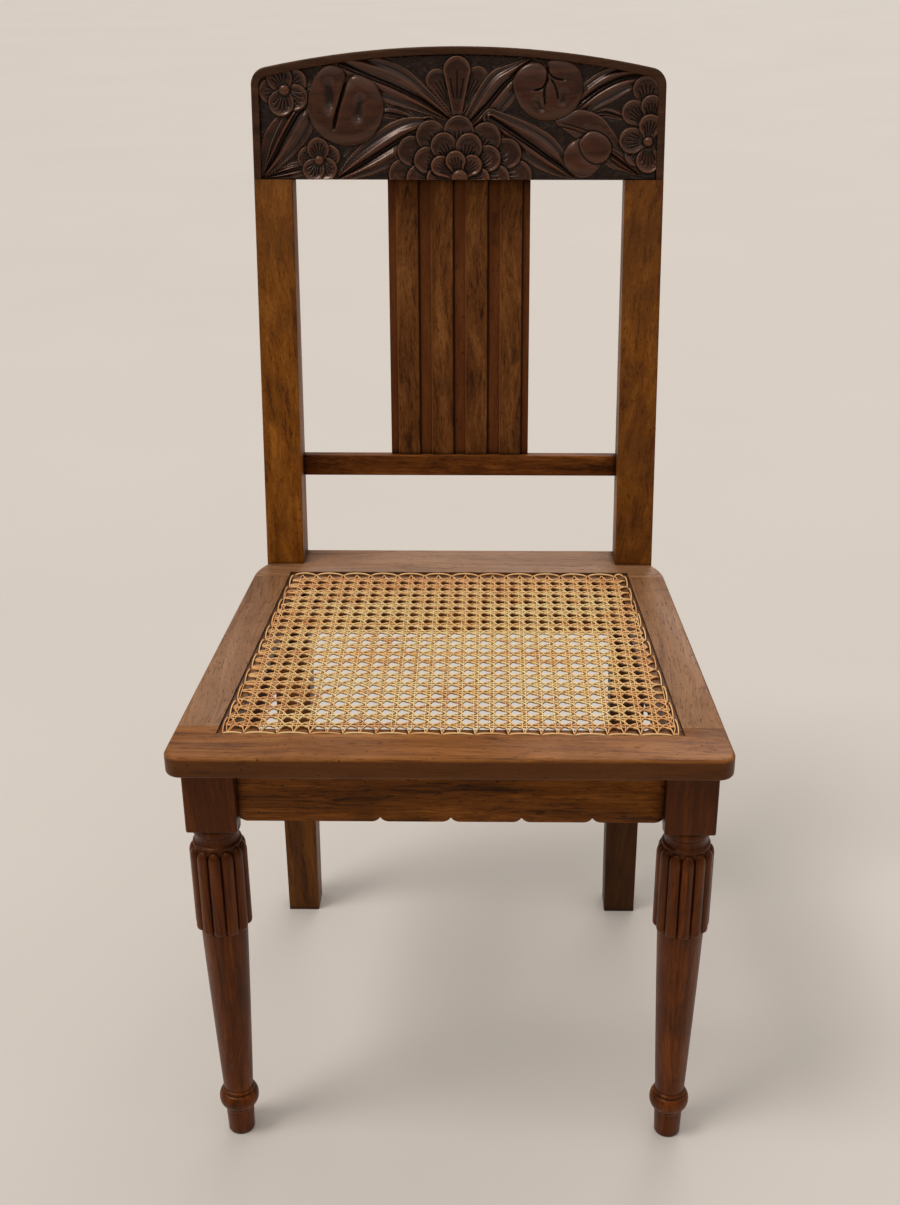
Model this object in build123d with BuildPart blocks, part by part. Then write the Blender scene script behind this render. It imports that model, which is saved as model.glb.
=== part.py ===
from build123d import *
import os
from math import atan2, cos, degrees, hypot, radians, sin, sqrt

# A caned side chair with a carved crest rail, a fluted splat and reeded front legs.
# Millimetres. +X is to the right of someone who faces the chair, +Y towards its back, +Z up.
# The origin is on the floor, below the middle of the chair's length and width.

os.makedirs("parts", exist_ok=True)

# ---------------------------------------------------------------- driving sizes

# Seat frame: four flat rails, with a rebate that holds the cane
seat_height = 448.0  # floor to the top of the frame
seat_thickness = 20.0
seat_front_width = 480.0
seat_back_width = 418.0
seat_depth = 437.0
seat_corner_round = 14.0  # front corners, seen from above
seat_edge_round = 3.0
ear_length = 30.0  # rounded stretch of each side that ends at the post
front_rail_top = 42.0  # width of wood between the outer edge and the rebate
side_rail_top = 37.0
rear_rail_top = 59.0
ledge_width = 12.0  # ledge that the cane lies on
ledge_drop = 5.0

# Caning: a hole in the ledge for each pair of strands, then four layers of strands and a binder
cane_hole_radius = 2.0
cane_hole_sides = 8
cane_hole_inset = 4.5  # from the rebate's wall
cane_column_pitch = 14.15  # between the pairs that run front to back
cane_row_pitch = 15.05  # between the pairs that run side to side
cane_first_row = 12.5  # from the front holes to the first side-to-side pair
strand_thickness = 0.7
strand_width = 2.3
strand_spacing = 3.6  # between the two strands of a pair
strand_overrun = 1.0  # beyond the middle of the hole
diagonal_width = 2.6
shortest_diagonal = 16.0
binder_width = 4.4
binder_thickness = 0.8
cane_relief_depth = 6.0  # room below the frame for the strands that pass between the holes
cane_relief_margin = 3.0

# Front legs: square block, turned neck, reeded vase, tapered shaft, ring and foot
leg_block = 45.0
leg_block_height = 72.0
leg_block_ease = 2.0
leg_block_low_ease = 1.5
front_overhang = 27.0  # seat edge beyond the block's face
side_overhang = 9.5  # seat's front corner beyond the block's outer face
foot_radius = 12.5
foot_top_radius = 13.3
foot_height = 27.5
foot_ease = 1.5
low_bead_height = 4.5
low_bead_bulge = 1.2
ring_radius = 18.8
ring_height = 17.0
ring_seat_radius = 14.4
top_bead_height = 4.0
top_bead_bulge = 1.6
shaft_low_radius = 13.9
shaft_top_radius = 21.0
shaft_swell = 0.4
vase_height = 89.0
vase_radius = 25.7
vase_low_nose = 6.0  # lower ends of the reeds, turned down to the shaft
vase_top_nose = 13.0
vase_step = 0.8  # from the shaft and the ring in to the ends of the reeds
vase_top_radius = 21.8
reed_cover = 0.7  # room between the reeds and the turned outline that trims their ends
reed_count = 12
reed_radius = 5.9
neck_ring_height = 3.5
neck_ring_bulge = 1.0
neck_radius = 20.6
neck_height = 10.0
neck_hollow = 1.8
neck_collar_radius = 21.6
neck_collar_height = 8.5

# Rear posts: tapered square leg below the seat, raked and tapered post above it
post_inset = 5.5  # outer faces inside the line of the seat's sides at its back edge
post_width = 38.5
seat_behind_posts = 38.5  # reach of the seat behind the posts' front faces
post_depth_seat = 43.0
post_depth_top = 30.0
post_depth_foot = 34.0
post_width_foot = 35.0
post_ease = 1.5
rake = radians(10.0)

# Crest rail, in the raked plane of the posts' front faces
crest_bottom = 393.0  # up the rake from the seat's top
crest_middle_height = 125.5
crest_end_height = 103.0
crest_thickness = post_depth_top
crest_corner_round = 17.0
crest_edge_round = 2.0
crest_border = 7.5
carving_depth = 6.5

# Lower back rail and splat, in the plane of the posts' back faces
low_rail_bottom = 84.0  # up the rake from the seat's top
low_rail_height = 21.5
low_rail_thickness = 16.0
low_rail_ease = 1.2
splat_width = 144.0
splat_thickness = 9.5
splat_back_gap = 1.0
band_count = 4
band_pitch = 35.2
band_width = 22.4
flute_depth = 3.5
band_chamfer = 0.8

# Aprons
apron_height = 68.0
front_apron_thickness = 22.0
front_apron_setback = 14.0  # behind the face of the leg block
side_apron_thickness = 20.0
side_apron_setback = 10.0
rear_apron_thickness = 20.0
rear_apron_setback = 10.0
lobe_count = 6
lobe_round = 9.0
cusp_rise = 4.4

# Joints
glue_gap = 0.1  # round each tenon
end_gap = 1.0  # beyond each tenon's end
apron_tenon_thickness = 10.0
apron_tenon_low_shoulder = 12.0
apron_tenon_top_shoulder = 20.0
front_tenon_length = 16.0
side_tenon_length = 20.0
rear_tenon_length = 13.0
seat_tenon_thickness = 7.0
seat_tenon_width = 26.0
seat_tenon_length = 20.0
low_rail_tenon_thickness = 8.0
low_rail_tenon_shoulder = 3.0
low_rail_tenon_length = 18.0
post_tenon_thickness = 12.0
post_tenon_width = 22.0
post_tenon_length = 32.0
tongue_thickness = 4.0
tongue_shoulder = 10.0
tongue_middle = 4.0  # from the splat's back to the middle of the tongue
top_tongue_length = 12.0
low_tongue_length = 8.0

# Dowels that hold the seat frame down on the leg blocks and the aprons
dowel_radius = 4.0
dowel_length = 28.0
dowel_in_seat = 12.0
leg_dowel_inset = 9.0  # from the leg block's back face
side_dowel_inset = 90.0  # from either end of the side apron
rear_dowel_offset = 85.0  # from the middle of the rear apron

# Corner blocks and their screws
corner_block_leg = 46.0
corner_block_height = 30.0
screw_radius = 2.0
screw_head_radius = 4.0
screw_head_height = 2.6
screw_length = 34.0
screw_in_apron = 14.0
screw_gap = 0.1
screw_level = 9.0  # of the lower screw above the block's bottom
screw_rise = 12.0  # between the two screws of a block
screw_share = 0.42  # of the block's leg, from the leg or post

# ---------------------------------------------------------------- places worked out

post_setback = seat_depth - seat_behind_posts
post_outer = seat_back_width / 2 - post_inset
post_inner = post_outer - post_width
block_outer = seat_front_width / 2 - side_overhang
leg_x = block_outer - leg_block / 2
block_inner = leg_x - leg_block / 2

crest_top = crest_bottom + crest_middle_height
overall_depth = post_setback + crest_top * sin(rake) + crest_thickness * cos(rake)
front_y = -overall_depth / 2
back_y = front_y + seat_depth
block_front_y = front_y + front_overhang
block_back_y = block_front_y + leg_block
leg_y = block_front_y + leg_block / 2
post_front_y = front_y + post_setback
post_back_y = post_front_y + post_depth_seat
frame_bottom = seat_height - seat_thickness
apron_bottom = frame_bottom - apron_height
ledge_top = seat_height - ledge_drop

rebate_front_y = front_y + front_rail_top
rebate_back_y = back_y - rear_rail_top
joint_front_y = rebate_front_y + ledge_width
joint_back_y = rebate_back_y - ledge_width
hole_front_y = rebate_front_y + cane_hole_inset
hole_back_y = rebate_back_y - cane_hole_inset


def seat_half_width(y):
    """Half the width of the seat frame's tapered outline at a distance y."""
    taper = (seat_front_width - seat_back_width) / 2 / seat_depth
    return seat_front_width / 2 - (y - front_y) * taper


def upright(x, y):
    """Vertical plane that faces the front, with its origin on the floor at x, y."""
    return Plane(origin=(x, y, 0), x_dir=(1, 0, 0), z_dir=(0, -1, 0))


# Raked plane of the posts' front faces: its Y runs up the post, its Z points forward
front_plane = Plane(
    origin=(0, post_front_y, seat_height), x_dir=(1, 0, 0), z_dir=(0, -cos(rake), sin(rake))
)
crest_bottom_front = front_plane.from_local_coords((0, crest_bottom, 0))
crest_bottom_back = front_plane.from_local_coords((0, crest_bottom, -post_depth_top))
crest_underside = Plane(origin=crest_bottom_front, x_dir=(1, 0, 0), z_dir=front_plane.y_dir)

# The posts get thinner towards the top, so their back faces have a rake of their own
back_rake = atan2(crest_bottom_back.Y - post_back_y, crest_bottom_back.Z - seat_height)
back_plane = Plane(
    origin=(0, post_back_y, seat_height),
    x_dir=(1, 0, 0),
    z_dir=(0, -cos(back_rake), sin(back_rake)),
)
low_rail_top = low_rail_bottom + low_rail_height


def fitted_box(place, width, height, length, gap):
    """Box of a tenon, or of its mortise where gap is the room left round it.

    Its length runs along the place's Z, out of the shoulder at the place's origin."""
    room = end_gap if gap else 0.0
    with Locations(place):
        Box(
            width + 2 * gap,
            height + 2 * gap,
            length + room,
            align=(Align.CENTER, Align.CENTER, Align.MIN),
            mode=Mode.SUBTRACT if gap else Mode.ADD,
        )


def mortise(place, length):
    fitted_box(place, apron_tenon_thickness, apron_tenon_height, length, glue_gap)


def tenon(place, length):
    fitted_box(place, apron_tenon_thickness, apron_tenon_height, length, 0)


def mirrored(plane):
    """The same joint on the other side of the chair."""
    origin = (-plane.origin.X, plane.origin.Y, plane.origin.Z)
    x_dir = (-plane.x_dir.X, plane.x_dir.Y, plane.x_dir.Z)
    z_dir = (-plane.z_dir.X, plane.z_dir.Y, plane.z_dir.Z)
    return Plane(origin=origin, x_dir=x_dir, z_dir=z_dir)


# ---------------------------------------------------------------- where the joints are

apron_tenon_height = apron_height - apron_tenon_low_shoulder - apron_tenon_top_shoulder
apron_tenon_z = apron_bottom + apron_tenon_low_shoulder + apron_tenon_height / 2

front_apron_y = block_front_y + front_apron_setback
rear_apron_y = post_front_y + rear_apron_setback
front_apron_joint = Plane(
    origin=(-block_inner, front_apron_y + front_apron_thickness / 2, apron_tenon_z),
    x_dir=(0, 1, 0),
    z_dir=(-1, 0, 0),
)
rear_apron_joint = Plane(
    origin=(-post_inner, rear_apron_y + rear_apron_thickness / 2, apron_tenon_z),
    x_dir=(0, 1, 0),
    z_dir=(-1, 0, 0),
)


def side_apron_outer(y):
    """Distance of the side apron's outer face from the middle, parallel to the seat's edge."""
    reach = block_outer - side_apron_setback
    return reach - (seat_half_width(block_back_y) - seat_half_width(y))


def side_apron_inner(y):
    return side_apron_outer(y) - side_apron_thickness


def side_apron_joint(y, towards):
    middle = side_apron_outer(y) - side_apron_thickness / 2
    return Plane(origin=(-middle, y, apron_tenon_z), x_dir=(1, 0, 0), z_dir=(0, towards, 0))


side_front_joint = side_apron_joint(block_back_y, -1)
side_rear_joint = side_apron_joint(post_front_y, 1)


def seat_joint(y, towards):
    middle = seat_half_width(y) - (side_rail_top + ledge_width) / 2
    level = frame_bottom + (seat_thickness - ledge_drop) / 2
    return Plane(origin=(-middle, y, level), x_dir=(1, 0, 0), z_dir=(0, towards, 0))


seat_front_joint = seat_joint(joint_front_y, -1)
seat_rear_joint = seat_joint(joint_back_y, 1)

low_rail_joint = Plane(
    origin=back_plane.from_local_coords(
        (-post_inner, low_rail_bottom + low_rail_height / 2, low_rail_thickness / 2)
    ),
    x_dir=back_plane.z_dir,
    z_dir=(-1, 0, 0),
)
low_rail_tenon_height = low_rail_height - 2 * low_rail_tenon_shoulder

post_top_joint = Plane(
    origin=front_plane.from_local_coords(
        (-post_outer + post_width / 2, crest_bottom, -post_depth_top / 2)
    ),
    x_dir=(1, 0, 0),
    z_dir=front_plane.y_dir,
)

tongue_width = splat_width - 2 * tongue_shoulder
tongue_reach = splat_back_gap + tongue_middle
splat_top_joint = Plane(
    origin=front_plane.from_local_coords((0, crest_bottom, tongue_reach - post_depth_top)),
    x_dir=(1, 0, 0),
    z_dir=front_plane.y_dir,
)
splat_low_joint = Plane(
    origin=back_plane.from_local_coords((0, low_rail_top, tongue_reach)),
    x_dir=(1, 0, 0),
    z_dir=back_plane.y_dir * -1,
)

# Dowels stand upright in the tops of the leg blocks and of the side and rear aprons
leg_dowels = [(-leg_x, block_back_y - leg_dowel_inset)]
side_dowels = [
    (side_apron_thickness / 2 - side_apron_outer(y), y)
    for y in (block_back_y + side_dowel_inset, post_front_y - side_dowel_inset)
]
rear_dowels = [
    (side * rear_dowel_offset, rear_apron_y + rear_apron_thickness / 2) for side in (-1, 1)
]
dowel_bottom = frame_bottom + dowel_in_seat - dowel_length


def bore_dowels(points):
    """Blind holes for the dowels in the piece that is being made."""
    with Locations(*[(x, y, dowel_bottom - end_gap) for x, y in points]):
        Cylinder(
            dowel_radius + glue_gap,
            dowel_length + 2 * end_gap,
            align=(Align.CENTER, Align.CENTER, Align.MIN),
            mode=Mode.SUBTRACT,
        )


# The strands pass between their holes in this space, below the frame
relief_x = seat_half_width(hole_front_y) - side_rail_top - cane_hole_inset + cane_relief_margin
relief_y = hole_front_y - cane_relief_margin
relief_bottom = frame_bottom - cane_relief_depth


def relieve_for_cane():
    with Locations((0, relief_y, relief_bottom)):
        Box(
            2 * relief_x,
            block_back_y - relief_y,
            cane_relief_depth,
            align=(Align.CENTER, Align.MIN, Align.MIN),
            mode=Mode.SUBTRACT,
        )


# Each corner block has one screw into the front or rear apron and one into the side apron
block_bottom = relief_bottom - corner_block_height
screw_low_z = block_bottom + screw_level
screw_high_z = screw_low_z + screw_rise
screw_run = corner_block_leg * screw_share


def screw_places(y_apron, y_leg, x_leg, towards):
    """Planes at the undersides of the two screw heads of a left-hand block, facing the tips.

    towards is -1 for the front blocks and 1 for the rear ones."""
    y_side = y_leg - towards * screw_run
    head_back = screw_length - screw_in_apron
    into_cross = Plane(
        origin=(-x_leg + screw_run, y_apron - towards * head_back, screw_low_z),
        x_dir=(1, 0, 0),
        z_dir=(0, towards, 0),
    )
    into_side = Plane(
        origin=(-side_apron_inner(y_side) + head_back, y_side, screw_high_z),
        x_dir=(0, 1, 0),
        z_dir=(-1, 0, 0),
    )
    return [into_cross, into_side]


front_apron_back_y = front_apron_y + front_apron_thickness
front_screws = screw_places(front_apron_back_y, block_back_y, block_inner, -1)
rear_screws = screw_places(rear_apron_y, post_front_y, post_inner, 1)


def bore_screws(places):
    """Screw holes, with a counterbore that starts under each head."""
    with Locations(*places):
        Cylinder(
            screw_radius + screw_gap,
            screw_length + end_gap,
            align=(Align.CENTER, Align.CENTER, Align.MIN),
            mode=Mode.SUBTRACT,
        )
        Cylinder(
            screw_head_radius + screw_gap,
            corner_block_leg,
            align=(Align.CENTER, Align.CENTER, Align.MAX),
            mode=Mode.SUBTRACT,
        )


def finish(name, piece):
    piece.part.label = name
    export_step(piece.part, f"parts/{name}.step")


# ---------------------------------------------------------------- front legs

leg_face = upright(-leg_x, leg_y)
leg_axis = Axis((-leg_x, leg_y, 0), (0, 0, 1))
ring_bottom = foot_height + low_bead_height
ring_top = ring_bottom + ring_height
shaft_bottom = ring_top + top_bead_height
block_low_z = frame_bottom - leg_block_height
neck_top = block_low_z - neck_collar_height
neck_bottom = neck_top - neck_height
vase_top = neck_bottom - neck_ring_height
vase_bottom = vase_top - vase_height
reed_circle = vase_radius - reed_radius
vase_core_radius = reed_circle - vase_step


def bulge(start, end, height):
    """Round moulding between two points of a turned outline; a negative height hollows it."""
    middle = ((start[0] + end[0]) / 2 + height, (start[1] + end[1]) / 2)
    ThreePointArc(start, middle, end)


# Twelve reeds round a core, trimmed to the vase's rounded outline
with BuildPart() as reeded_vase:
    with BuildSketch(Plane((-leg_x, leg_y, vase_bottom))) as reeds:
        Circle(reed_circle)
        with PolarLocations(reed_circle, reed_count):
            Circle(reed_radius)
    extrude(amount=vase_top - vase_bottom)
    with BuildSketch(leg_face) as vase_outline:
        with BuildLine():
            low_start = (shaft_top_radius - vase_step, vase_bottom)
            low_nose = (vase_radius + reed_cover, vase_bottom + vase_low_nose)
            top_nose = (vase_radius + reed_cover, vase_top - vase_top_nose)
            top_end = (vase_top_radius - vase_step, vase_top)
            Polyline((0, vase_bottom), low_start, low_nose, top_nose, top_end, (0, vase_top), close=True)
        make_face()
    revolve(axis=leg_axis, mode=Mode.INTERSECT)

with BuildPart() as square_block:
    with BuildSketch(Plane((-leg_x, leg_y, block_low_z))) as block_section:
        RectangleRounded(leg_block, leg_block, leg_block_ease)
    extrude(amount=leg_block_height)
    fillet(faces().sort_by(Axis.Z)[0].edges(), leg_block_low_ease)

with BuildPart() as front_leg_left:
    with BuildSketch(leg_face) as turning:
        with BuildLine():
            Polyline(
                (0, 0),
                (foot_radius - foot_ease, 0),
                (foot_radius, foot_ease),
                (foot_top_radius, foot_height),
            )
            bulge((foot_top_radius, foot_height), (foot_top_radius, ring_bottom), low_bead_bulge)
            bulge(
                (foot_top_radius, ring_bottom),
                (ring_seat_radius, ring_top),
                ring_radius - (foot_top_radius + ring_seat_radius) / 2,
            )
            bulge((ring_seat_radius, ring_top), (ring_seat_radius, shaft_bottom), top_bead_bulge)
            Line((ring_seat_radius, shaft_bottom), (shaft_low_radius, shaft_bottom))
            bulge(
                (shaft_low_radius, shaft_bottom),
                (shaft_top_radius, vase_bottom),
                shaft_swell,
            )
            Polyline(
                (shaft_top_radius, vase_bottom),
                (vase_core_radius, vase_bottom),
                (vase_core_radius, vase_top),
                (vase_top_radius, vase_top),
            )
            bulge((vase_top_radius, vase_top), (vase_top_radius, neck_bottom), neck_ring_bulge)
            Line((vase_top_radius, neck_bottom), (neck_radius, neck_bottom))
            bulge((neck_radius, neck_bottom), (neck_radius, neck_top), -neck_hollow)
            Polyline(
                (neck_radius, neck_top),
                (neck_collar_radius, neck_top),
                (neck_collar_radius, block_low_z),
                (0, block_low_z),
                (0, 0),
            )
        make_face()
    revolve(axis=leg_axis)
    add(reeded_vase.part)
    add(square_block.part)
    mortise(front_apron_joint, front_tenon_length)
    mortise(side_front_joint, side_tenon_length)
    bore_dowels(leg_dowels)
    relieve_for_cane()
finish("front_leg_left", front_leg_left)

with BuildPart() as front_leg_right:
    mirror(front_leg_left.part, about=Plane.YZ)
finish("front_leg_right", front_leg_right)

# ---------------------------------------------------------------- rear posts

def post_section(place, width, depth):
    with BuildSketch(place) as section:
        RectangleRounded(width, depth, post_ease)
    return section.sketch


def plumb_section(z, width, depth):
    """Level section of the post, whose outer and front faces are plumb."""
    middle = Plane((width / 2 - post_outer, post_front_y + depth / 2, z))
    return post_section(middle, width, depth)


with BuildPart() as rear_post_left:
    # The leg narrows towards the floor on its inner and back faces
    foot_section = plumb_section(0, post_width_foot, post_depth_foot)
    apron_section = plumb_section(apron_bottom, post_width, post_depth_seat)
    loft([foot_section, apron_section])
    extrude(apron_section, amount=seat_height - apron_bottom)
    # Above the seat it leans back, and gets thinner up to the crest rail
    seat_section = plumb_section(seat_height, post_width, post_depth_seat)
    loft([seat_section, post_section(post_top_joint, post_width, post_depth_top)])
    fitted_box(post_top_joint, post_tenon_width, post_tenon_thickness, post_tenon_length, 0)
    mortise(side_rear_joint, side_tenon_length)
    mortise(rear_apron_joint, rear_tenon_length)
    fitted_box(
        low_rail_joint,
        low_rail_tenon_thickness,
        low_rail_tenon_height,
        low_rail_tenon_length,
        glue_gap,
    )
finish("rear_post_left", rear_post_left)

with BuildPart() as rear_post_right:
    mirror(rear_post_left.part, about=Plane.YZ)
finish("rear_post_right", rear_post_right)

# ---------------------------------------------------------------- aprons

front_apron_length = 2 * block_inner
lobe_pitch = front_apron_length / lobe_count
lobe_spread = 2 * (lobe_round - sqrt(lobe_round**2 - (lobe_round - cusp_rise) ** 2))
lobe_height = 2 * lobe_round + cusp_rise

with BuildPart() as front_apron:
    # Six shallow lobes hang below the board, and meet in five pointed cusps
    with BuildSketch(upright(0, front_apron_y)) as scalloped_board:
        with Locations((0, apron_bottom + lobe_height / 2)):
            with GridLocations(lobe_pitch, 1, lobe_count, 1):
                RectangleRounded(lobe_pitch + lobe_spread, lobe_height, lobe_round)
        with Locations((0, frame_bottom)):
            whole_board = (front_apron_length, apron_height)
            above_lobes = (front_apron_length, apron_height - lobe_height / 2)
            Rectangle(*above_lobes, align=(Align.CENTER, Align.MAX))
            Rectangle(*whole_board, align=(Align.CENTER, Align.MAX), mode=Mode.INTERSECT)
    extrude(amount=-front_apron_thickness)
    tenon(front_apron_joint, front_tenon_length)
    tenon(mirrored(front_apron_joint), front_tenon_length)
    bore_screws([front_screws[0], mirrored(front_screws[0])])
    relieve_for_cane()
finish("front_apron", front_apron)

with BuildPart() as rear_apron:
    with BuildSketch(upright(0, rear_apron_y)) as rear_board:
        with Locations((0, apron_bottom)):
            Rectangle(2 * post_inner, apron_height, align=(Align.CENTER, Align.MIN))
    extrude(amount=-rear_apron_thickness)
    tenon(rear_apron_joint, rear_tenon_length)
    tenon(mirrored(rear_apron_joint), rear_tenon_length)
    bore_screws([rear_screws[0], mirrored(rear_screws[0])])
    bore_dowels(rear_dowels)
finish("rear_apron", rear_apron)

with BuildPart() as side_apron_left:
    with BuildSketch(Plane.XY.offset(apron_bottom)) as skewed_board:
        with BuildLine():
            Polyline(
                (-side_apron_outer(block_back_y), block_back_y),
                (-side_apron_inner(block_back_y), block_back_y),
                (-side_apron_inner(post_front_y), post_front_y),
                (-side_apron_outer(post_front_y), post_front_y),
                close=True,
            )
        make_face()
    extrude(amount=apron_height)
    tenon(side_front_joint, side_tenon_length)
    tenon(side_rear_joint, side_tenon_length)
    bore_screws([front_screws[1], rear_screws[1]])
    bore_dowels(side_dowels)
finish("side_apron_left", side_apron_left)

with BuildPart() as side_apron_right:
    mirror(side_apron_left.part, about=Plane.YZ)
finish("side_apron_right", side_apron_right)

# ---------------------------------------------------------------- seat frame


def inside_frame(inset, front_inset, rear_inset):
    """Corners of a trapezoid parallel to the sides of the seat, set in from its edges."""
    front = front_y + front_inset
    rear = back_y - rear_inset
    front_x = seat_half_width(front) - inset
    rear_x = seat_half_width(rear) - inset
    return [(-front_x, front), (front_x, front), (rear_x, rear), (-rear_x, rear)]


def beside_post(edge):
    """True for an edge of the notch that fits round a post."""
    middle = edge.center()
    return middle.Y > post_front_y - 0.1 and abs(middle.X) > post_inner - 0.1


# The four rails are cut from this outline, so that their faces run on from rail to rail
with BuildPart() as seat_blank:
    with BuildSketch(Plane.XY.offset(frame_bottom)) as seat_outline:
        ear_y = post_front_y - ear_length
        side_run = (seat_half_width(front_y) - seat_half_width(back_y), seat_depth)
        with BuildLine() as half_outline:
            Line((0, front_y), (-seat_half_width(front_y), front_y))
            Line((-seat_half_width(front_y), front_y), (-seat_half_width(ear_y), ear_y))
            TangentArc(
                (-seat_half_width(ear_y), ear_y), (-post_outer, post_front_y), tangent=side_run
            )
            Polyline(
                (-post_outer, post_front_y),
                (-post_inner, post_front_y),
                (-post_inner, back_y),
                (0, back_y),
            )
            mirror(about=Plane.YZ)
        make_face()
        fillet(vertices().group_by(Axis.Y)[0], seat_corner_round)
    extrude(amount=seat_thickness)
    rim = edges().group_by(Axis.Z)[0] + edges().group_by(Axis.Z)[-1]
    fillet([edge for edge in rim if not beside_post(edge)], seat_edge_round)
    with BuildSketch(Plane.XY.offset(ledge_top)) as rebate:
        Polygon(*inside_frame(side_rail_top, front_rail_top, rear_rail_top), align=None)
    extrude(amount=ledge_drop, mode=Mode.SUBTRACT)
    with BuildSketch(Plane.XY.offset(frame_bottom)) as opening:
        ledge_edge = inside_frame(
            side_rail_top + ledge_width,
            front_rail_top + ledge_width,
            rear_rail_top + ledge_width,
        )
        Polygon(*ledge_edge, align=None)
    extrude(amount=seat_thickness, mode=Mode.SUBTRACT)


def rail_from_blank(start, end, x_align):
    """The part of the seat blank between two distances along Y."""
    add(seat_blank.part)
    with Locations((0, start, frame_bottom)):
        Box(
            seat_front_width,
            end - start,
            seat_thickness,
            align=(x_align, Align.MIN, Align.MIN),
            mode=Mode.INTERSECT,
        )


# Holes for the cane, all along the hole line in the ledge
def hole_line_x(y):
    return seat_half_width(y) - side_rail_top - cane_hole_inset


column_count = 2 * int(hole_line_x(hole_front_y) / cane_column_pitch + 0.5)
row_count = 1 + int((hole_back_y - hole_front_y - cane_first_row) / cane_row_pitch)
columns = [(step - (column_count - 1) / 2) * cane_column_pitch for step in range(column_count)]
rows = [hole_front_y + cane_first_row + step * cane_row_pitch for step in range(row_count)]
front_holes = [(x, hole_front_y) for x in columns]
rear_holes = [(x, hole_back_y) for x in columns if abs(x) < hole_line_x(hole_back_y)]
side_holes = [(-hole_line_x(y), y) for y in rows]


def bore_cane_holes(points, start, end):
    """Small holes through the ledge for the points between two distances along Y."""
    with BuildSketch(Plane.XY.offset(frame_bottom)) as holes:
        with Locations(*[point for point in points if start < point[1] < end]):
            RegularPolygon(cane_hole_radius, cane_hole_sides)
    extrude(holes.sketch, amount=seat_thickness - ledge_drop, mode=Mode.SUBTRACT)


def seat_tenon(place, gap):
    fitted_box(place, seat_tenon_width, seat_tenon_thickness, seat_tenon_length, gap)


with BuildPart() as seat_rail_front:
    rail_from_blank(front_y, joint_front_y, Align.CENTER)
    seat_tenon(seat_front_joint, glue_gap)
    seat_tenon(mirrored(seat_front_joint), glue_gap)
    bore_cane_holes(front_holes, front_y, joint_front_y)
finish("seat_rail_front", seat_rail_front)

with BuildPart() as seat_rail_rear:
    rail_from_blank(joint_back_y, back_y, Align.CENTER)
    seat_tenon(seat_rear_joint, glue_gap)
    seat_tenon(mirrored(seat_rear_joint), glue_gap)
    bore_cane_holes(rear_holes, joint_back_y, back_y)
    bore_dowels(rear_dowels)
finish("seat_rail_rear", seat_rail_rear)

with BuildPart() as seat_rail_left:
    rail_from_blank(joint_front_y, joint_back_y, Align.MAX)
    seat_tenon(seat_front_joint, 0)
    seat_tenon(seat_rear_joint, 0)
    bore_cane_holes(side_holes, joint_front_y, joint_back_y)
    bore_dowels(leg_dowels + side_dowels)
finish("seat_rail_left", seat_rail_left)

with BuildPart() as seat_rail_right:
    mirror(seat_rail_left.part, about=Plane.YZ)
finish("seat_rail_right", seat_rail_right)

# ---------------------------------------------------------------- cane

# Each layer of strands lies on the one below it, clipped where it goes down its holes
hole_inset = cane_hole_inset - strand_overrun
cane_field = inside_frame(
    side_rail_top + hole_inset, front_rail_top + hole_inset, rear_rail_top + hole_inset
)
diagonal_angle = degrees(atan2(cane_row_pitch, cane_column_pitch))
diagonal_pitch = cane_column_pitch * sin(radians(diagonal_angle))
middle_row = rows[row_count // 2]
diagonal_reach = hypot(seat_front_width, seat_depth)
diagonal_count = 2 * int(diagonal_reach / 2 / diagonal_pitch) + 1


def pairs(places):
    """Both strands of each pair, at places along one direction."""
    half = strand_spacing / 2
    return [place + side * half for place in places for side in (-1, 1)]


def strand_layer(layer):
    return Plane.XY.offset(ledge_top + layer * strand_thickness)


with BuildPart() as cane_front_to_back:
    with BuildSketch(strand_layer(0)) as front_to_back:
        with Locations(*[(x, middle_row) for x in pairs(columns)]):
            Rectangle(strand_width, seat_depth)
        Polygon(*cane_field, align=None, mode=Mode.INTERSECT)
    extrude(amount=strand_thickness)
finish("cane_front_to_back", cane_front_to_back)

with BuildPart() as cane_side_to_side:
    with BuildSketch(strand_layer(1)) as side_to_side:
        with Locations(*[(0, y) for y in pairs(rows)]):
            Rectangle(seat_front_width, strand_width)
        Polygon(*cane_field, align=None, mode=Mode.INTERSECT)
    extrude(amount=strand_thickness)
finish("cane_side_to_side", cane_side_to_side)


def diagonals(turn):
    """Strands that cross the rows halfway between the columns, at an angle to them."""
    with Locations(Location((0, middle_row), turn)):
        with GridLocations(diagonal_pitch, 1, diagonal_count, 1):
            Rectangle(diagonal_width, diagonal_reach)
    Polygon(*cane_field, align=None, mode=Mode.INTERSECT)


def long_enough(strand):
    return strand.area > shortest_diagonal * diagonal_width


with BuildPart() as cane_diagonal_left:
    with BuildSketch(strand_layer(2)) as leaning_left:
        diagonals(90 - diagonal_angle)
    for strand in leaning_left.sketch.faces().filter_by(long_enough):
        extrude(strand, amount=strand_thickness)
finish("cane_diagonal_left", cane_diagonal_left)

with BuildPart() as cane_diagonal_right:
    with BuildSketch(strand_layer(3)) as leaning_right:
        diagonals(diagonal_angle - 90)
    for strand in leaning_right.sketch.faces().filter_by(long_enough):
        extrude(strand, amount=strand_thickness)
finish("cane_diagonal_right", cane_diagonal_right)

with BuildPart() as cane_binder:
    with BuildSketch(strand_layer(4)) as binder_ring:
        for width, mode in ((-binder_width / 2, Mode.ADD), (binder_width / 2, Mode.SUBTRACT)):
            inset = cane_hole_inset + width
            edge = inside_frame(side_rail_top + inset, front_rail_top + inset, rear_rail_top + inset)
            Polygon(*edge, align=None, mode=mode)
    extrude(amount=binder_thickness)
finish("cane_binder", cane_binder)

# ---------------------------------------------------------------- back


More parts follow.
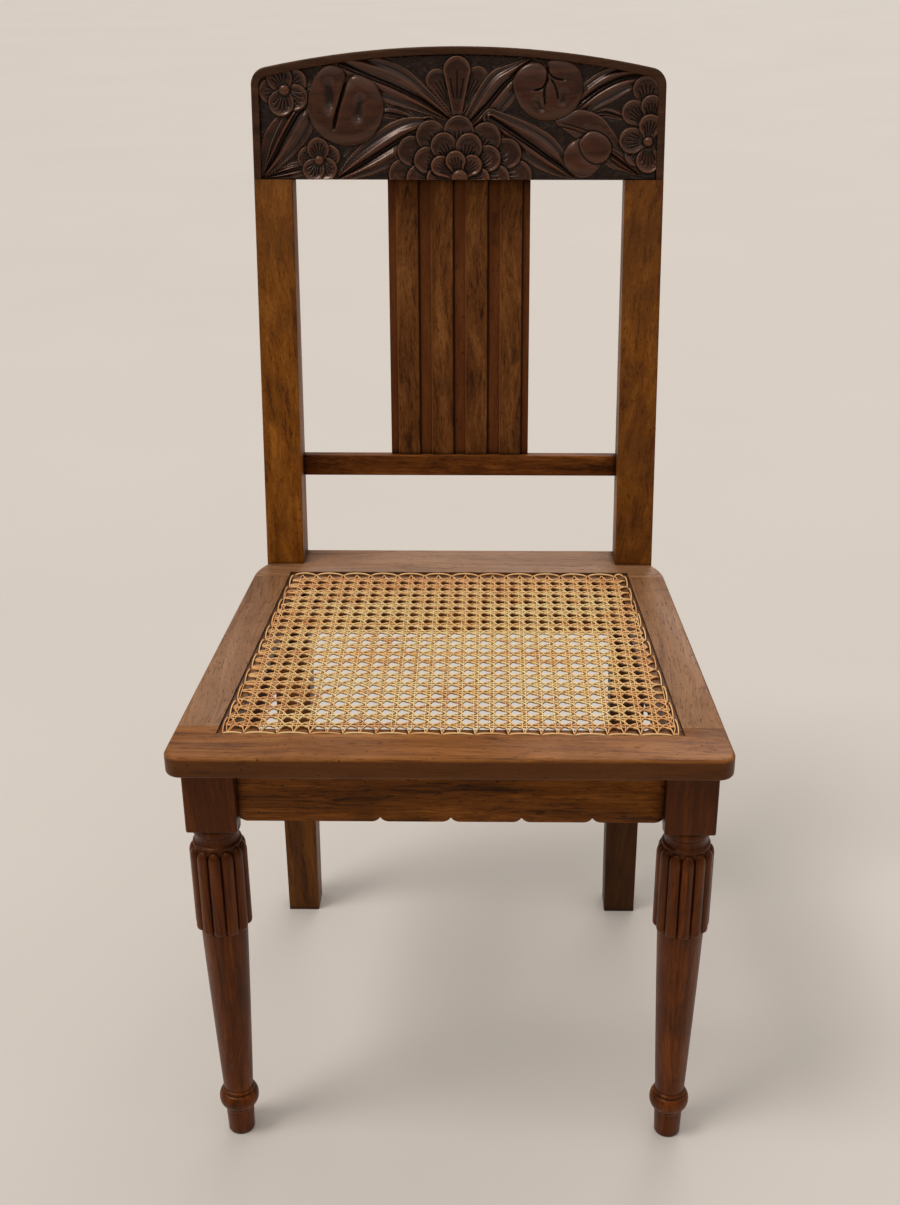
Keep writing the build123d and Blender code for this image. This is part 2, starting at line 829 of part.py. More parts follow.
def crest_outline(border):
    """The crest's outline on the front plane, set in from its sides and top by the border."""
    half = post_outer - border
    end = crest_bottom + crest_end_height - border
    middle = crest_bottom + crest_middle_height - border
    with BuildSketch(front_plane) as outline:
        with BuildLine():
            Polyline((-half, end), (-half, crest_bottom), (half, crest_bottom), (half, end))
            ThreePointArc((half, end), (0, middle), (-half, end))
        make_face()
        fillet(vertices().group_by(Axis.Y)[-1], crest_corner_round - border)
    return outline.sketch


with BuildPart() as crest_rail:
    extrude(crest_outline(0), amount=-crest_thickness)
    across = Axis(front_plane.origin, front_plane.z_dir)
    up = Axis(front_plane.origin, front_plane.y_dir)
    for face in (faces().sort_by(across)[0], faces().sort_by(across)[-1]):
        fillet(face.edges().sort_by(up)[1:], crest_edge_round)
    extrude(crest_outline(crest_border), amount=-carving_depth, mode=Mode.SUBTRACT)
    for place in (post_top_joint, mirrored(post_top_joint)):
        fitted_box(place, post_tenon_width, post_tenon_thickness, post_tenon_length, glue_gap)
    fitted_box(splat_top_joint, tongue_width, tongue_thickness, top_tongue_length, glue_gap)
finish("crest_rail", crest_rail)


def on_back_plane(s):
    """Plane across the back at a distance s up its slope, with its Y pointing backwards."""
    return Plane(
        origin=back_plane.from_local_coords((0, s, 0)), x_dir=(1, 0, 0), z_dir=back_plane.y_dir
    )


with BuildPart() as lower_back_rail:
    with BuildSketch(Plane.YZ.offset(-post_inner)) as rail_section:
        corners = [
            back_plane.from_local_coords((0, s, depth))
            for s, depth in (
                (low_rail_bottom, 0),
                (low_rail_bottom, low_rail_thickness),
                (low_rail_top, low_rail_thickness),
                (low_rail_top, 0),
            )
        ]
        with BuildLine():
            Polyline(*[(corner.Y, corner.Z) for corner in corners], close=True)
        make_face()
        fillet(vertices(), low_rail_ease)
    extrude(amount=2 * post_inner)
    for place in (low_rail_joint, mirrored(low_rail_joint)):
        fitted_box(
            place, low_rail_tenon_thickness, low_rail_tenon_height, low_rail_tenon_length, 0
        )
    fitted_box(splat_low_joint, tongue_width, tongue_thickness, low_tongue_length, glue_gap)
finish("lower_back_rail", lower_back_rail)

with BuildPart() as back_splat:
    # Four proud bands with flutes between them, on a thin board
    with BuildSketch(on_back_plane(low_rail_top)) as splat_section:
        board_thickness = splat_thickness - flute_depth
        with Locations((0, -splat_back_gap)):
            Rectangle(splat_width, board_thickness, align=(Align.CENTER, Align.MAX))
        with Locations((0, -splat_back_gap - board_thickness - flute_depth / 2)):
            with GridLocations(band_pitch, 1, band_count, 1):
                Rectangle(band_width, flute_depth)
        chamfer(vertices().group_by(Axis.Y)[0], band_chamfer)
    extrude(amount=crest_bottom)
    split(bisect_by=crest_underside, keep=Keep.BOTTOM)
    fitted_box(splat_top_joint, tongue_width, tongue_thickness, top_tongue_length, 0)
    fitted_box(splat_low_joint, tongue_width, tongue_thickness, low_tongue_length, 0)
finish("back_splat", back_splat)

# ---------------------------------------------------------------- corner blocks and fasteners


def block_outline(y_apron, y_leg, x_leg, towards):
    """Left-hand block between two aprons, notched round the leg block or post."""
    y_tip = y_leg - towards * corner_block_leg
    with BuildSketch(Plane.XY.offset(block_bottom)) as outline:
        with BuildLine():
            Polyline(
                (corner_block_leg - x_leg, y_apron),
                (-x_leg, y_apron),
                (-x_leg, y_leg),
                (-side_apron_inner(y_leg), y_leg),
                (-side_apron_inner(y_tip), y_tip),
                close=True,
            )
        make_face()
    return outline.sketch


with BuildPart() as corner_block_front_left:
    front_outline = block_outline(front_apron_back_y, block_back_y, block_inner, -1)
    extrude(front_outline, amount=corner_block_height)
    bore_screws(front_screws)
finish("corner_block_front_left", corner_block_front_left)

with BuildPart() as corner_block_front_right:
    mirror(corner_block_front_left.part, about=Plane.YZ)
finish("corner_block_front_right", corner_block_front_right)

with BuildPart() as corner_block_rear_left:
    rear_outline = block_outline(rear_apron_y, post_front_y, post_inner, 1)
    extrude(rear_outline, amount=corner_block_height)
    bore_screws(rear_screws)
finish("corner_block_rear_left", corner_block_rear_left)

with BuildPart() as corner_block_rear_right:
    mirror(corner_block_rear_left.part, about=Plane.YZ)
finish("corner_block_rear_right", corner_block_rear_right)

left_screws = front_screws + rear_screws
with BuildPart() as corner_block_screws:
    with Locations(*left_screws, *[mirrored(place) for place in left_screws]):
        Cylinder(screw_radius, screw_length, align=(Align.CENTER, Align.CENTER, Align.MIN))
        Cylinder(
            screw_head_radius, screw_head_height, align=(Align.CENTER, Align.CENTER, Align.MAX)
        )
finish("corner_block_screws", corner_block_screws)

left_dowels = leg_dowels + side_dowels
with BuildPart() as seat_dowels:
    dowel_points = left_dowels + [(-x, y) for x, y in left_dowels] + rear_dowels
    with Locations(*[(x, y, dowel_bottom) for x, y in dowel_points]):
        Cylinder(dowel_radius, dowel_length, align=(Align.CENTER, Align.CENTER, Align.MIN))
finish("seat_dowels", seat_dowels)
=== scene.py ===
import math

import bmesh
import bpy
import numpy as np
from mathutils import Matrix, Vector


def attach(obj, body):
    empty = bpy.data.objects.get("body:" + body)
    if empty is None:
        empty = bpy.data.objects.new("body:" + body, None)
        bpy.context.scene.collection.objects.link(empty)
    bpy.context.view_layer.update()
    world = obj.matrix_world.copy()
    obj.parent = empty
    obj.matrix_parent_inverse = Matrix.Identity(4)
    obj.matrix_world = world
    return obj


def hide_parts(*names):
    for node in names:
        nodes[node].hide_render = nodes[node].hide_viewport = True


# A caned side chair: dark stained wood, a carved crest rail, reeded front legs and a woven cane
# seat. Metres. +X is to the right of someone who faces the chair, +Y towards its back, +Z up.

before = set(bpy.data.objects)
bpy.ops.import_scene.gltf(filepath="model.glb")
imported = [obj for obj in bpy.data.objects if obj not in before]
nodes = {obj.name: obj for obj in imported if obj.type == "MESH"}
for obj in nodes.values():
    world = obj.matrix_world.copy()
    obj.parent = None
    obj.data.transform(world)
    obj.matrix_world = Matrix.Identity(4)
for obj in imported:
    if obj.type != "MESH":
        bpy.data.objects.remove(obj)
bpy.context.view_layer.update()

MM = 0.001

# ---- sizes of the solids, in mm

FRONT_Y = -259.04
SEAT_TOP = 448.0
SEAT_DEPTH = 437.0
SEAT_HALF_FRONT = 240.0
SEAT_TAPER = 31.0 / SEAT_DEPTH
SIDE_RAIL_TOP = 37.0
FRONT_RAIL_TOP = 42.0
REAR_RAIL_TOP = 59.0
LEDGE_TOP = 443.0
LEDGE_SHOWN = 445.6  # the ledge and the cane are shown nearer the frame's top than the solids
HOLE_INSET = 4.5
COLUMN_PITCH = 14.15
ROW_PITCH = 15.05
FIRST_ROW = 12.5
COLUMNS = 28
ROWS = 21
PAIR = 3.6  # between the two strands of a pair

HOLE_FRONT = FRONT_Y + FRONT_RAIL_TOP + HOLE_INSET
HOLE_BACK = FRONT_Y + SEAT_DEPTH - REAR_RAIL_TOP - HOLE_INSET
WEAVE_LEVEL = LEDGE_SHOWN + 1.0  # middle of the woven layers

LEG_X = 208.0
LEG_Y = -209.54
BLOCK_LOW = 356.0
BLOCK_TOP = 428.0
BLOCK_HALF = 22.5

POST_FRONT_Y = 139.46
RAKE = math.radians(10.0)
CREST_LOW = 393.0
CREST_MIDDLE = 125.5
CREST_END = 103.0
CREST_HALF = 203.5
CREST_CORNER = 17.0
CREST_BORDER = 7.5
CARVING_DEPTH = 6.5

BAND_PITCH = 35.2
BAND_WIDTH = 22.4


def seat_half_width(y):
    return SEAT_HALF_FRONT - (y - FRONT_Y) * SEAT_TAPER


def hole_line_x(y):
    return seat_half_width(y) - SIDE_RAIL_TOP - HOLE_INSET


# ---- writing node trees


def linear(red, green, blue):
    """A colour that is given as it looks, 0 to 255, as the light it stands for."""
    return tuple(
        c / 12.92 if c <= 0.04045 else ((c + 0.055) / 1.055) ** 2.4
        for c in (red / 255, green / 255, blue / 255)
    ) + (1.0,)


class Signal:
    """A value that varies from place to place. Sums on it add the nodes that work them out."""

    def __init__(self, graph, socket):
        self.graph = graph
        self.socket = socket

    def math(self, operation, *others):
        """The operation's result for this value and others, in that order."""
        return self.graph.math(operation, self, *others)

    def __add__(self, other):
        return self.math("ADD", other)

    def __radd__(self, other):
        return self.graph.math("ADD", other, self)

    def __sub__(self, other):
        return self.math("SUBTRACT", other)

    def __rsub__(self, other):
        return self.graph.math("SUBTRACT", other, self)

    def __mul__(self, other):
        return self.math("MULTIPLY", other)

    def __rmul__(self, other):
        return self.graph.math("MULTIPLY", other, self)

    def __truediv__(self, other):
        return self.math("DIVIDE", other)

    def __rtruediv__(self, other):
        return self.graph.math("DIVIDE", other, self)

    def step(self, low, high):
        """0 below low, 1 above high, and a smooth rise between them; low may be the larger."""
        sockets = {"Value": self, "From Min": low, "From Max": high}
        return self.graph.add("ShaderNodeMapRange", sockets, interpolation_type="SMOOTHSTEP")


class Graph:
    """A node tree that is filled by calls."""

    def __init__(self, tree):
        self.tree = tree

    def add(self, kind, sockets=None, take=0, **settings):
        """Adds a node, sets it up, fills its sockets with values or links, and gives one output."""
        node = self.tree.nodes.new(kind)
        for key, value in settings.items():
            if key == "stops":
                self.fill_ramp(node.color_ramp.elements, value)
            else:
                setattr(node, key, value)
        for key, value in (sockets or {}).items():
            if isinstance(value, Signal):
                self.tree.links.new(value.socket, node.inputs[key])
            else:
                node.inputs[key].default_value = value
        return Signal(self, node.outputs[take]) if node.outputs else None

    @staticmethod
    def fill_ramp(elements, stops):
        """Gives a colour ramp its stops, each a position and a tone."""
        while len(elements) < len(stops):
            elements.new(0.5)
        for element, (position, tone) in zip(elements, stops):
            element.position = position
            element.color = linear(*tone)

    def math(self, operation, *terms):
        return self.add("ShaderNodeMath", dict(enumerate(terms)), operation=operation)

    def vector(self, x, y, z):
        return self.add("ShaderNodeCombineXYZ", {"X": x, "Y": y, "Z": z})

    def split(self, vector):
        separate = self.add("ShaderNodeSeparateXYZ", {"Vector": vector})
        return [Signal(self, output) for output in separate.socket.node.outputs]

    def mix(self, factor, first, second):
        """A colour between two. Each is a signal, or a tone as it looks, 0 to 255."""
        first, second = (linear(*c) if isinstance(c, tuple) else c for c in (first, second))
        sockets = {0: factor, 6: first, 7: second}
        return self.add("ShaderNodeMix", sockets, take=2, data_type="RGBA")


class Finish(Graph):
    """A material with one surface shader, whose colour is built up tone over tone."""

    def __init__(self, name):
        self.material = bpy.data.materials.new(name)
        self.material.use_nodes = True
        super().__init__(self.material.node_tree)
        self.tree.nodes.clear()
        self.colour = None

    def shade(self, mask, tone):
        """Takes the colour towards a tone where the mask is above 0."""
        self.colour = self.mix(mask, self.colour, tone)
        return self

    def place(self):
        return self.add("ShaderNodeTexCoord", take="Object")

    def facing(self, axis):
        """How far the surface faces along an axis, from -1 to 1."""
        return self.split(self.add("ShaderNodeNewGeometry", take="Normal"))[axis]

    def openness(self, reach, samples):
        """1 in the open, and less in corners and gaps within reach, in mm."""
        sockets = {"Distance": reach * MM}
        return self.add("ShaderNodeAmbientOcclusion", sockets, take="AO", samples=samples)

    def noise(self, vector, scale, detail=2.0, roughness=0.5, distortion=0.0):
        sockets = {
            "Vector": vector,
            "Scale": scale,
            "Detail": detail,
            "Roughness": roughness,
            "Distortion": distortion,
        }
        return self.add("ShaderNodeTexNoise", sockets)

    def attribute(self, name):
        return self.add("ShaderNodeAttribute", take="Fac", attribute_name=name)

    def surface(self, height, bump_distance, roughness, **sockets):
        """Ends the material. More of the shader's sockets are named with underscores."""
        named = {key.replace("_", " "): value for key, value in sockets.items()}
        bump = {"Strength": 1.0, "Distance": bump_distance, "Height": height}
        named["Base Color"] = self.colour
        named["Roughness"] = roughness
        named["Normal"] = self.add("ShaderNodeBump", bump)
        shader = self.add("ShaderNodeBsdfPrincipled", named)
        self.add("ShaderNodeOutputMaterial", {"Surface": shader})
        return self.material


# ---- finishes

WAX_TINT = (1.0, 0.56, 0.32, 1.0)  # of the shine on brown wood
CARVING_TINT = (1.0, 0.73, 0.61, 1.0)
PORE_TONE = (30, 13, 4)
DIRT_AND_SHADE_TONE = (18, 8, 4)
HOLE_TONE = (16, 7, 4)
BRUISE_TONE = (34, 16, 8)
DENT_TONE = (22, 10, 5)


class Wood(Finish):
    """Dark stained, waxed wood, with its grain along one axis: 0 for X, 1 for Y, 2 for Z.

    The tones are its darkest streaks, its main colour and its palest streaks. The figure leans
    across the board by the given share of its length."""

    def __init__(self, name, along, tones, offset=(0.0, 0.0, 0.0), lean=0.0):
        super().__init__(name)
        self.along = along
        place = self.place()
        self.x, self.y, self.z = self.split(place)
        shifted = self.add("ShaderNodeMapping", {"Vector": place, "Location": offset})
        run = self.split(shifted)
        sway = self.noise(shifted, 7.0, 1.0)
        across = 1 if along == 0 else 0
        run[across] = run[across] + run[along] * lean + sway * 0.03

        def grain(stretch):
            """Texture places that are stretched along the grain."""
            stretched = list(run)
            stretched[along] = run[along] * stretch
            return self.vector(*stretched)

        board = grain(0.07)
        fibres = grain(0.03)
        figure = self.noise(board, 75.0, 4.0, 0.6, 0.5)
        self.growth = self.noise(fibres, 300.0, 3.0, 0.6, 0.3)
        self.fibre = self.noise(fibres, 1100.0, 2.0, 0.6)
        self.pore = self.noise(board, 1300.0, 1.0, 0.5).step(0.64, 0.72)
        self.stain = self.noise(shifted, 16.0, 4.0, 0.6)

        dark, main, pale = tones
        streak = figure * 0.4 + self.growth * 0.34 + self.fibre * 0.26
        stops = [(0.0, dark), (0.42, main), (0.58, main), (1.0, pale)]
        streak = streak.step(0.36, 0.63)
        self.colour = self.add("ShaderNodeValToRGB", {"Fac": streak}, stops=stops)
        self.shade(self.growth.step(0.53, 0.66) * 0.34, dark)
        self.shade(self.fibre.step(0.54, 0.72) * 0.3, dark)
        self.shade(self.pore * 0.5, PORE_TONE)
        self.shade(self.stain.step(0.48, 0.72) * 0.42, dark)

    def beetle_holes(self, strength=0.85):
        """A few small round flight holes."""
        place = self.vector(self.x, self.y, self.z)
        spots = self.add("ShaderNodeTexVoronoi", {"Vector": place, "Scale": 85.0})
        return self.shade(spots.step(0.085, 0.055) * strength, HOLE_TONE)

    def bruises(self, strength):
        """Dark marks along the grain."""
        marks = self.noise(self.vector(self.x * 0.35, self.y, self.z), 70.0, 4.0, 0.7)
        return self.shade(marks.step(0.6, 0.7) * strength, BRUISE_TONE)

    def dents(self, strength):
        """Short dents along the grain, filled with old wax and dirt."""
        run = [self.x, self.y, self.z]
        run[self.along] = run[self.along] * 0.4
        marks = self.noise(self.vector(*run), 240.0, 2.0, 0.5)
        return self.shade(marks.step(0.68, 0.73) * strength, DENT_TONE)

    def waxed(self, gloss=0.42, level=0.22, dirt_and_shade=0.8):
        """Dirt and painted shade in the corners and grooves, then wax over everything."""
        # Dirt and painted shade in corners and grooves, where less light reaches
        self.shade(self.openness(8.0, 8).step(0.86, 0.34) * dirt_and_shade, DIRT_AND_SHADE_TONE)
        return self.surface(
            self.fibre * 0.5 - self.pore * 1.2 + self.growth * 0.6,
            0.00014,
            self.fibre * 0.12 + gloss + self.pore * 0.15 + (self.stain - 0.5) * 0.18,
            Specular_IOR_Level=level,
            Specular_Tint=WAX_TINT,
        )


def splat_finish():
    """Brown bands with a painted highlight at the left edge, redder flutes that start with a
    painted shadow line.
    """
    wood = Wood("splat wood", 2, SPLAT_TONES, (0.8, 0.1, 0.4), lean=0.02)
    front = wood.facing(1).step(-0.3, -0.7)
    half_pitch = BAND_PITCH / 2
    half_band = BAND_WIDTH / 2
    from_band = (wood.x * 1000.0 - half_pitch).math("WRAP", half_pitch, -half_pitch)

    def stripe(place, before, start, end, after):
        """1 beside a place on each band, by distances from it in mm, and 0 elsewhere."""
        rise = from_band.step(place + before, place + start)
        return rise * from_band.step(place + after, place + end)

    flute = from_band.math("ABSOLUTE").step(half_band - 0.2, half_band + 0.2)
    wood.shade(flute * front * 0.7, (92, 46, 20))
    # Painted shadow line at the right edge of each band
    wood.shade(stripe(half_band, -0.6, 0.3, 1.2, 2.4) * front * 0.85, (26, 11, 5))
    # Painted highlight along the left edge of each band
    wood.shade(stripe(-half_band, -0.9, -0.3, 0.4, 1.0) * front * 0.6, (138, 82, 44))
    knots = wood.noise(wood.vector(wood.x, wood.y, wood.z * 0.55), 34.0, 2.0, 0.5)
    wood.shade(knots.step(0.66, 0.76) * 0.6, (38, 18, 10))
    return wood.dents(0.5).waxed()


def carving_finish():
    """Crest carving: the ground and cuts darkest, with dirt and painted shade, the crowns rubbed,
    each rim with a painted highlight.
    """
    wood = Finish("crest carving wood")
    place = wood.place()
    board = wood.add("ShaderNodeMapping", {"Vector": place, "Scale": (0.07, 1.0, 1.0)})
    figure = wood.noise(board, 90.0, 4.0, 0.6, 0.6)
    fibre = wood.noise(board, 900.0, 2.0, 0.6)
    patina = wood.noise(place, 70.0, 4.0, 0.6)
    crown = wood.attribute("crown")
    cut = wood.attribute("cut")
    edge = wood.attribute("edge")
    wood.colour = wood.mix(figure.step(0.36, 0.64), (42, 20, 11), (70, 36, 20))
    wood.shade(fibre.step(0.4, 0.7) * 0.3, (82, 46, 27))
    # Painted shade, with dirt, in the hollows and on the ground
    wood.shade(1.0 - crown.step(0.15, 0.8), (13, 7, 5))
    wood.shade(crown.step(0.75, 1.4) * 0.55, (100, 57, 34))
    # Painted highlight along the rim of each form
    wood.shade(edge * 0.6, (140, 98, 74))
    # Painted shade in the cuts
    wood.shade(cut * 0.94, (6, 3, 2))
    wood.shade(patina.step(0.55, 0.8) * 0.25, (26, 14, 9))
    return wood.surface(
        fibre * 0.5 + patina * 0.4,
        0.00012,
        0.2 + cut * 0.3 + patina * 0.14,
        Specular_IOR_Level=0.55,
        Specular_Tint=CARVING_TINT,
    )


# How far out the cane starts to darken and over what distance, in mm: sides, rear and front
SIDE_AGEING = (112.0, 74.0)
REAR_AGEING = (6.0, 110.0)
FRONT_AGEING = (186.0, 34.0)


def cane_finish(name, stain_strength):
    """Split cane: pale straw in the middle of the seat, redder and darker towards its edges, with
    painted shade on strand sides and in gaps.
    """
    cane = Finish(name)
    place = cane.place()
    x, y, _ = cane.split(place)
    strand = cane.attribute("strand")
    out = ((x.math("ABSOLUTE"), SIDE_AGEING), (y, REAR_AGEING), (y * -1.0, FRONT_AGEING))
    side, rear, front = ((way * 1000.0 - start) / reach for way, (start, reach) in out)
    rim = side.math("MAXIMUM", rear).math("MAXIMUM", front)
    drift = cane.noise(place, 26.0, 3.0, 0.6)
    fleck = cane.noise(place, 420.0, 3.0, 0.65)
    aged = (rim + (drift - 0.5) * 1.2).step(0.1, 1.1)
    cane.colour = cane.mix(strand.step(0.1, 0.9), (255, 229, 164), (255, 206, 130))
    cane.shade(fleck.step(0.5, 0.75) * 0.2, (238, 170, 98))
    cane.shade(aged * stain_strength, (240, 172, 106))
    cane.shade((strand * 0.6 + drift * 0.8).step(0.78, 1.02) * 0.42, (186, 100, 56))
    # Painted shade on the sides of each strand
    cane.shade(cane.facing(2).step(0.5, 0.0) * 0.6, (150, 84, 36))
    # Painted shade in the gaps between strands
    cane.shade(cane.openness(3.0, 6).step(0.55, 0.22) * 0.6, (84, 38, 13))
    return cane.surface(fleck, 0.0001, 0.34 + fleck * 0.15, Specular_IOR_Level=0.5)


def steel_finish():
    """Old screws, dull and a little browned."""
    steel = Finish("screw steel")
    wear = steel.noise(steel.place(), 600.0, 3.0, 0.6)
    steel.colour = steel.mix(wear, (70, 58, 46), (128, 120, 108))
    return steel.surface(wear, 0.00005, 0.35 + wear * 0.3, Metallic=1.0)


# Darkest streaks, main colour and palest streaks
POST_TONES = ((74, 38, 10), (129, 74, 18), (166, 103, 36))
SEAT_TONES = ((80, 43, 17), (130, 77, 32), (162, 105, 52))
SIDE_TONES = ((102, 68, 43), (136, 95, 63), (156, 113, 80))
APRON_TONES = ((40, 18, 5), (108, 58, 13), (152, 90, 32))
LEG_TONES = ((42, 17, 4), (86, 38, 8), (124, 64, 20))
SPLAT_TONES = ((46, 23, 11), (102, 59, 26), (140, 90, 46))
LOW_RAIL_TONES = ((52, 24, 7), (100, 53, 16), (142, 84, 32))
CREST_TONES = ((40, 22, 14), (60, 37, 26), (80, 52, 38))
INNER_TONES = ((88, 58, 34), (120, 84, 52), (146, 108, 70))


def post_finish(name, offset, lean, age_and_shade):
    """Golden brown with a slanting figure, darker towards the crest and, as painted shade, below
    the seat.
    """
    wood = Wood(name, 2, POST_TONES, offset, lean)
    wood.shade(wood.z.step(0.62, 0.86) * 0.5, (66, 36, 16))
    # The last argument darkens the stains and the painted shade below the seat
    wood.shade(wood.stain.step(0.3, 0.6) * age_and_shade, (70, 40, 22))
    # Painted shade below the seat
    wood.shade(wood.z.step(0.43, 0.39) * (0.4 + age_and_shade), (40, 18, 7))
    return wood.dents(0.5).beetle_holes(0.6).waxed()


def seat_finish(name, along, tones, offset, strength):
    """Paler on top and darker round the edge, partly stain and partly painted shade for light from
    above.
    """
    wood = Wood(name, along, tones, offset, lean=0.03)
    # Darker round the edge: partly stain, partly painted shade
    wood.shade(wood.z.step(0.4468, 0.4445) * 0.82, (66, 32, 10))
    return wood.bruises(strength).dents(strength).beetle_holes(0.9).waxed(0.36, 0.34)


def apron_finish():
    """The most knocked about of the boards."""
    wood = Wood("apron wood", 0, APRON_TONES, (0.5, 0.2, 0.3), 0.03)
    return wood.bruises(0.4).dents(0.8).beetle_holes().waxed()


def side_apron_finish():
    """Waxed outside, and dark and dull on the face below the seat; the dark is painted shade."""
    wood = Wood("side apron wood", 1, APRON_TONES, (0.1, 0.2, 0.6))
    inside = (wood.facing(0) * wood.x).step(-0.02, -0.1)
    # Painted shade on the inner face below the seat
    wood.shade(inside * 0.8, (40, 20, 7))
    return wood.waxed(inside * 0.4 + 0.45, 0.1)


def leg_finish():
    """Reddish brown, darkest on the block."""
    wood = Wood("turned leg wood", 2, LEG_TONES, (0.4, 0.6, 0.0))
    wood.shade(wood.z.step(0.316, 0.332) * 0.5, (50, 18, 5))
    return wood.bruises(0.35).dents(0.5).waxed(0.3, 0.28, 0.6)


left_post_wood = post_finish("left post wood", (0.0, 0.0, 0.0), 0.07, 0.1)
right_post_wood = post_finish("right post wood", (0.3, 0.8, 0.45), -0.09, 0.4)
seat_front_wood = seat_finish("seat front wood", 0, SEAT_TONES, (0.3, 0.1, 0.0), 0.4)
seat_rear_wood = seat_finish("seat rear wood", 0, SIDE_TONES, (0.9, 0.4, 0.0), 0.3)
seat_side_wood = seat_finish("seat side wood", 1, SIDE_TONES, (0.2, 0.7, 0.1), 0.3)
apron_wood = apron_finish()
side_apron_wood = side_apron_finish()
leg_wood = leg_finish()
splat_wood = splat_finish()
low_rail_wood = Wood("lower rail wood", 0, LOW_RAIL_TONES, (0.7, 0.9, 0.2), 0.1).dents(0.5).waxed()
crest_wood = Wood("crest wood", 0, CREST_TONES, (0.2, 0.5, 0.9)).waxed(0.4, 0.3)
inner_wood = Wood("unstained block wood", 2, INNER_TONES, (0.6, 0.3, 0.2)).waxed(0.6)
crest_carved_wood = carving_finish()
woven_cane = cane_finish("woven cane", 0.75)
edge_cane = cane_finish("edge cane", 0.6)
screw_steel = steel_finish()

# ---- making pieces


def put_in(name, data):
    """Makes an object and puts it into the scene."""
    thing = bpy.data.objects.new(name, data)
    bpy.context.scene.collection.objects.link(thing)
    return thing


def coat(mesh, material):
    mesh.materials.clear()
    mesh.materials.append(material)


def show(name, mesh, material, slot, *stands_for):
    """Puts a finished mesh into the scene as one of the chair's pieces."""
    piece = put_in(name, mesh)
    coat(mesh, material)
    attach(piece, "root")
    if stands_for:
        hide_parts(*stands_for)


def turn_outwards(work):
    """Turns every face of a closed mesh outwards and shades it smooth."""
    bmesh.ops.recalc_face_normals(work, faces=work.faces)
    for face in work.faces:
        face.smooth = True


def closed_mesh(name, verts, faces):
    """A smooth mesh with its faces outwards."""
    mesh = bpy.data.meshes.new(name)
    mesh.from_pydata(verts, [], faces)
    work = bmesh.new()
    work.from_mesh(mesh)
    turn_outwards(work)
    work.to_mesh(mesh)
    work.free()
    return mesh


def worked_out(holder):
    """The mesh of a helper object with its modifier worked out; the helper goes."""
    bpy.context.view_layer.update()
    shown = holder.evaluated_get(bpy.context.evaluated_depsgraph_get())
    mesh = bpy.data.meshes.new_from_object(shown)
    bpy.data.objects.remove(holder)
    return mesh


def modified(mesh, name, kind, settings):
    """A mesh changed by one modifier."""
    holder = put_in(name, mesh)
    modifier = holder.modifiers.new(kind, kind)
    for key, value in settings.items():
        setattr(modifier, key, value)
    result = worked_out(holder)
    result.name = name
    return result


WELD_DISTANCE = 1e-6
FLAT_ANGLE = math.radians(0.6)  # faces this close in angle become one
SHARP_ANGLE = math.radians(30.0)  # edges sharper than this are worn
SAME_LEVEL = 0.01


def eased(node, width):
    """The solid's own shape, with its sharp edges worn round."""
    mesh = nodes[node].data.copy()
    work = bmesh.new()
    work.from_mesh(mesh)
    bmesh.ops.remove_doubles(work, verts=work.verts, dist=WELD_DISTANCE)
    bmesh.ops.dissolve_limit(work, angle_limit=FLAT_ANGLE, verts=work.verts, edges=work.edges)
    turn_outwards(work)
    if node.startswith("seat_rail"):
        for vert in work.verts:
            if abs(vert.co.z - LEDGE_TOP * MM) < SAME_LEVEL * MM:
                vert.co.z = LEDGE_SHOWN * MM
    work.to_mesh(mesh)
    work.free()
    settings = {
        "width": width * MM,
        "segments": 2,
        "limit_method": "ANGLE",
        "angle_limit": SHARP_ANGLE,
        "harden_normals": True,
        "use_clamp_overlap": True,
    }
    return modified(mesh, node + "_shown", "BEVEL", settings)


# Boards that keep the solids' shape: width of their worn edges, in mm, and finish
BOARDS = (
    ("rear_post_left", 0.8, left_post_wood),
    ("rear_post_right", 0.8, right_post_wood),
    ("front_apron", 0.7, apron_wood),
    ("rear_apron", 0.7, apron_wood),
    ("side_apron_left", 0.7, side_apron_wood),
    ("side_apron_right", 0.7, side_apron_wood),
    ("seat_rail_front", 0.4, seat_front_wood),
    ("seat_rail_rear", 0.4, seat_rear_wood),
    ("seat_rail_left", 0.4, seat_side_wood),
    ("seat_rail_right", 0.4, seat_side_wood),
    ("lower_back_rail", 0.5, low_rail_wood),
    ("back_splat", 0.4, splat_wood),
    ("crest_rail", 0.6, crest_wood),
)
for node, width, material in BOARDS:
    show(node + "_shown", eased(node, width), material, "polished_wood", node)

for node in nodes:
    if node.startswith("corner_block_screws"):
        coat(nodes[node].data, screw_steel)
    elif node.startswith("corner_block") or node == "seat_dowels":
        coat(nodes[node].data, inner_wood)

# ---- front legs

REEDS = 12
REED_RISE = 4.6  # from the groove between two reeds to their crowns
VASE_LOW = 245.0
VASE_TOP = 334.0
VASE_CORE = 21.1
CORE_STEP = 0.8  # by which the core is thinner at the ends of the reeds
REED_DOME = 9.5  # length of a reed's rounded top
REED_NOSE = 5.0  # length of its blunter lower end
REED_GROOVE = 0.7  # depth of the sharp cut between two reeds
GROOVE_WIDTH = 0.1  # of half the reeds' pitch
ROUND_STEPS = 14 * REEDS
LEG_SHARP_ANGLE = math.radians(42.0)

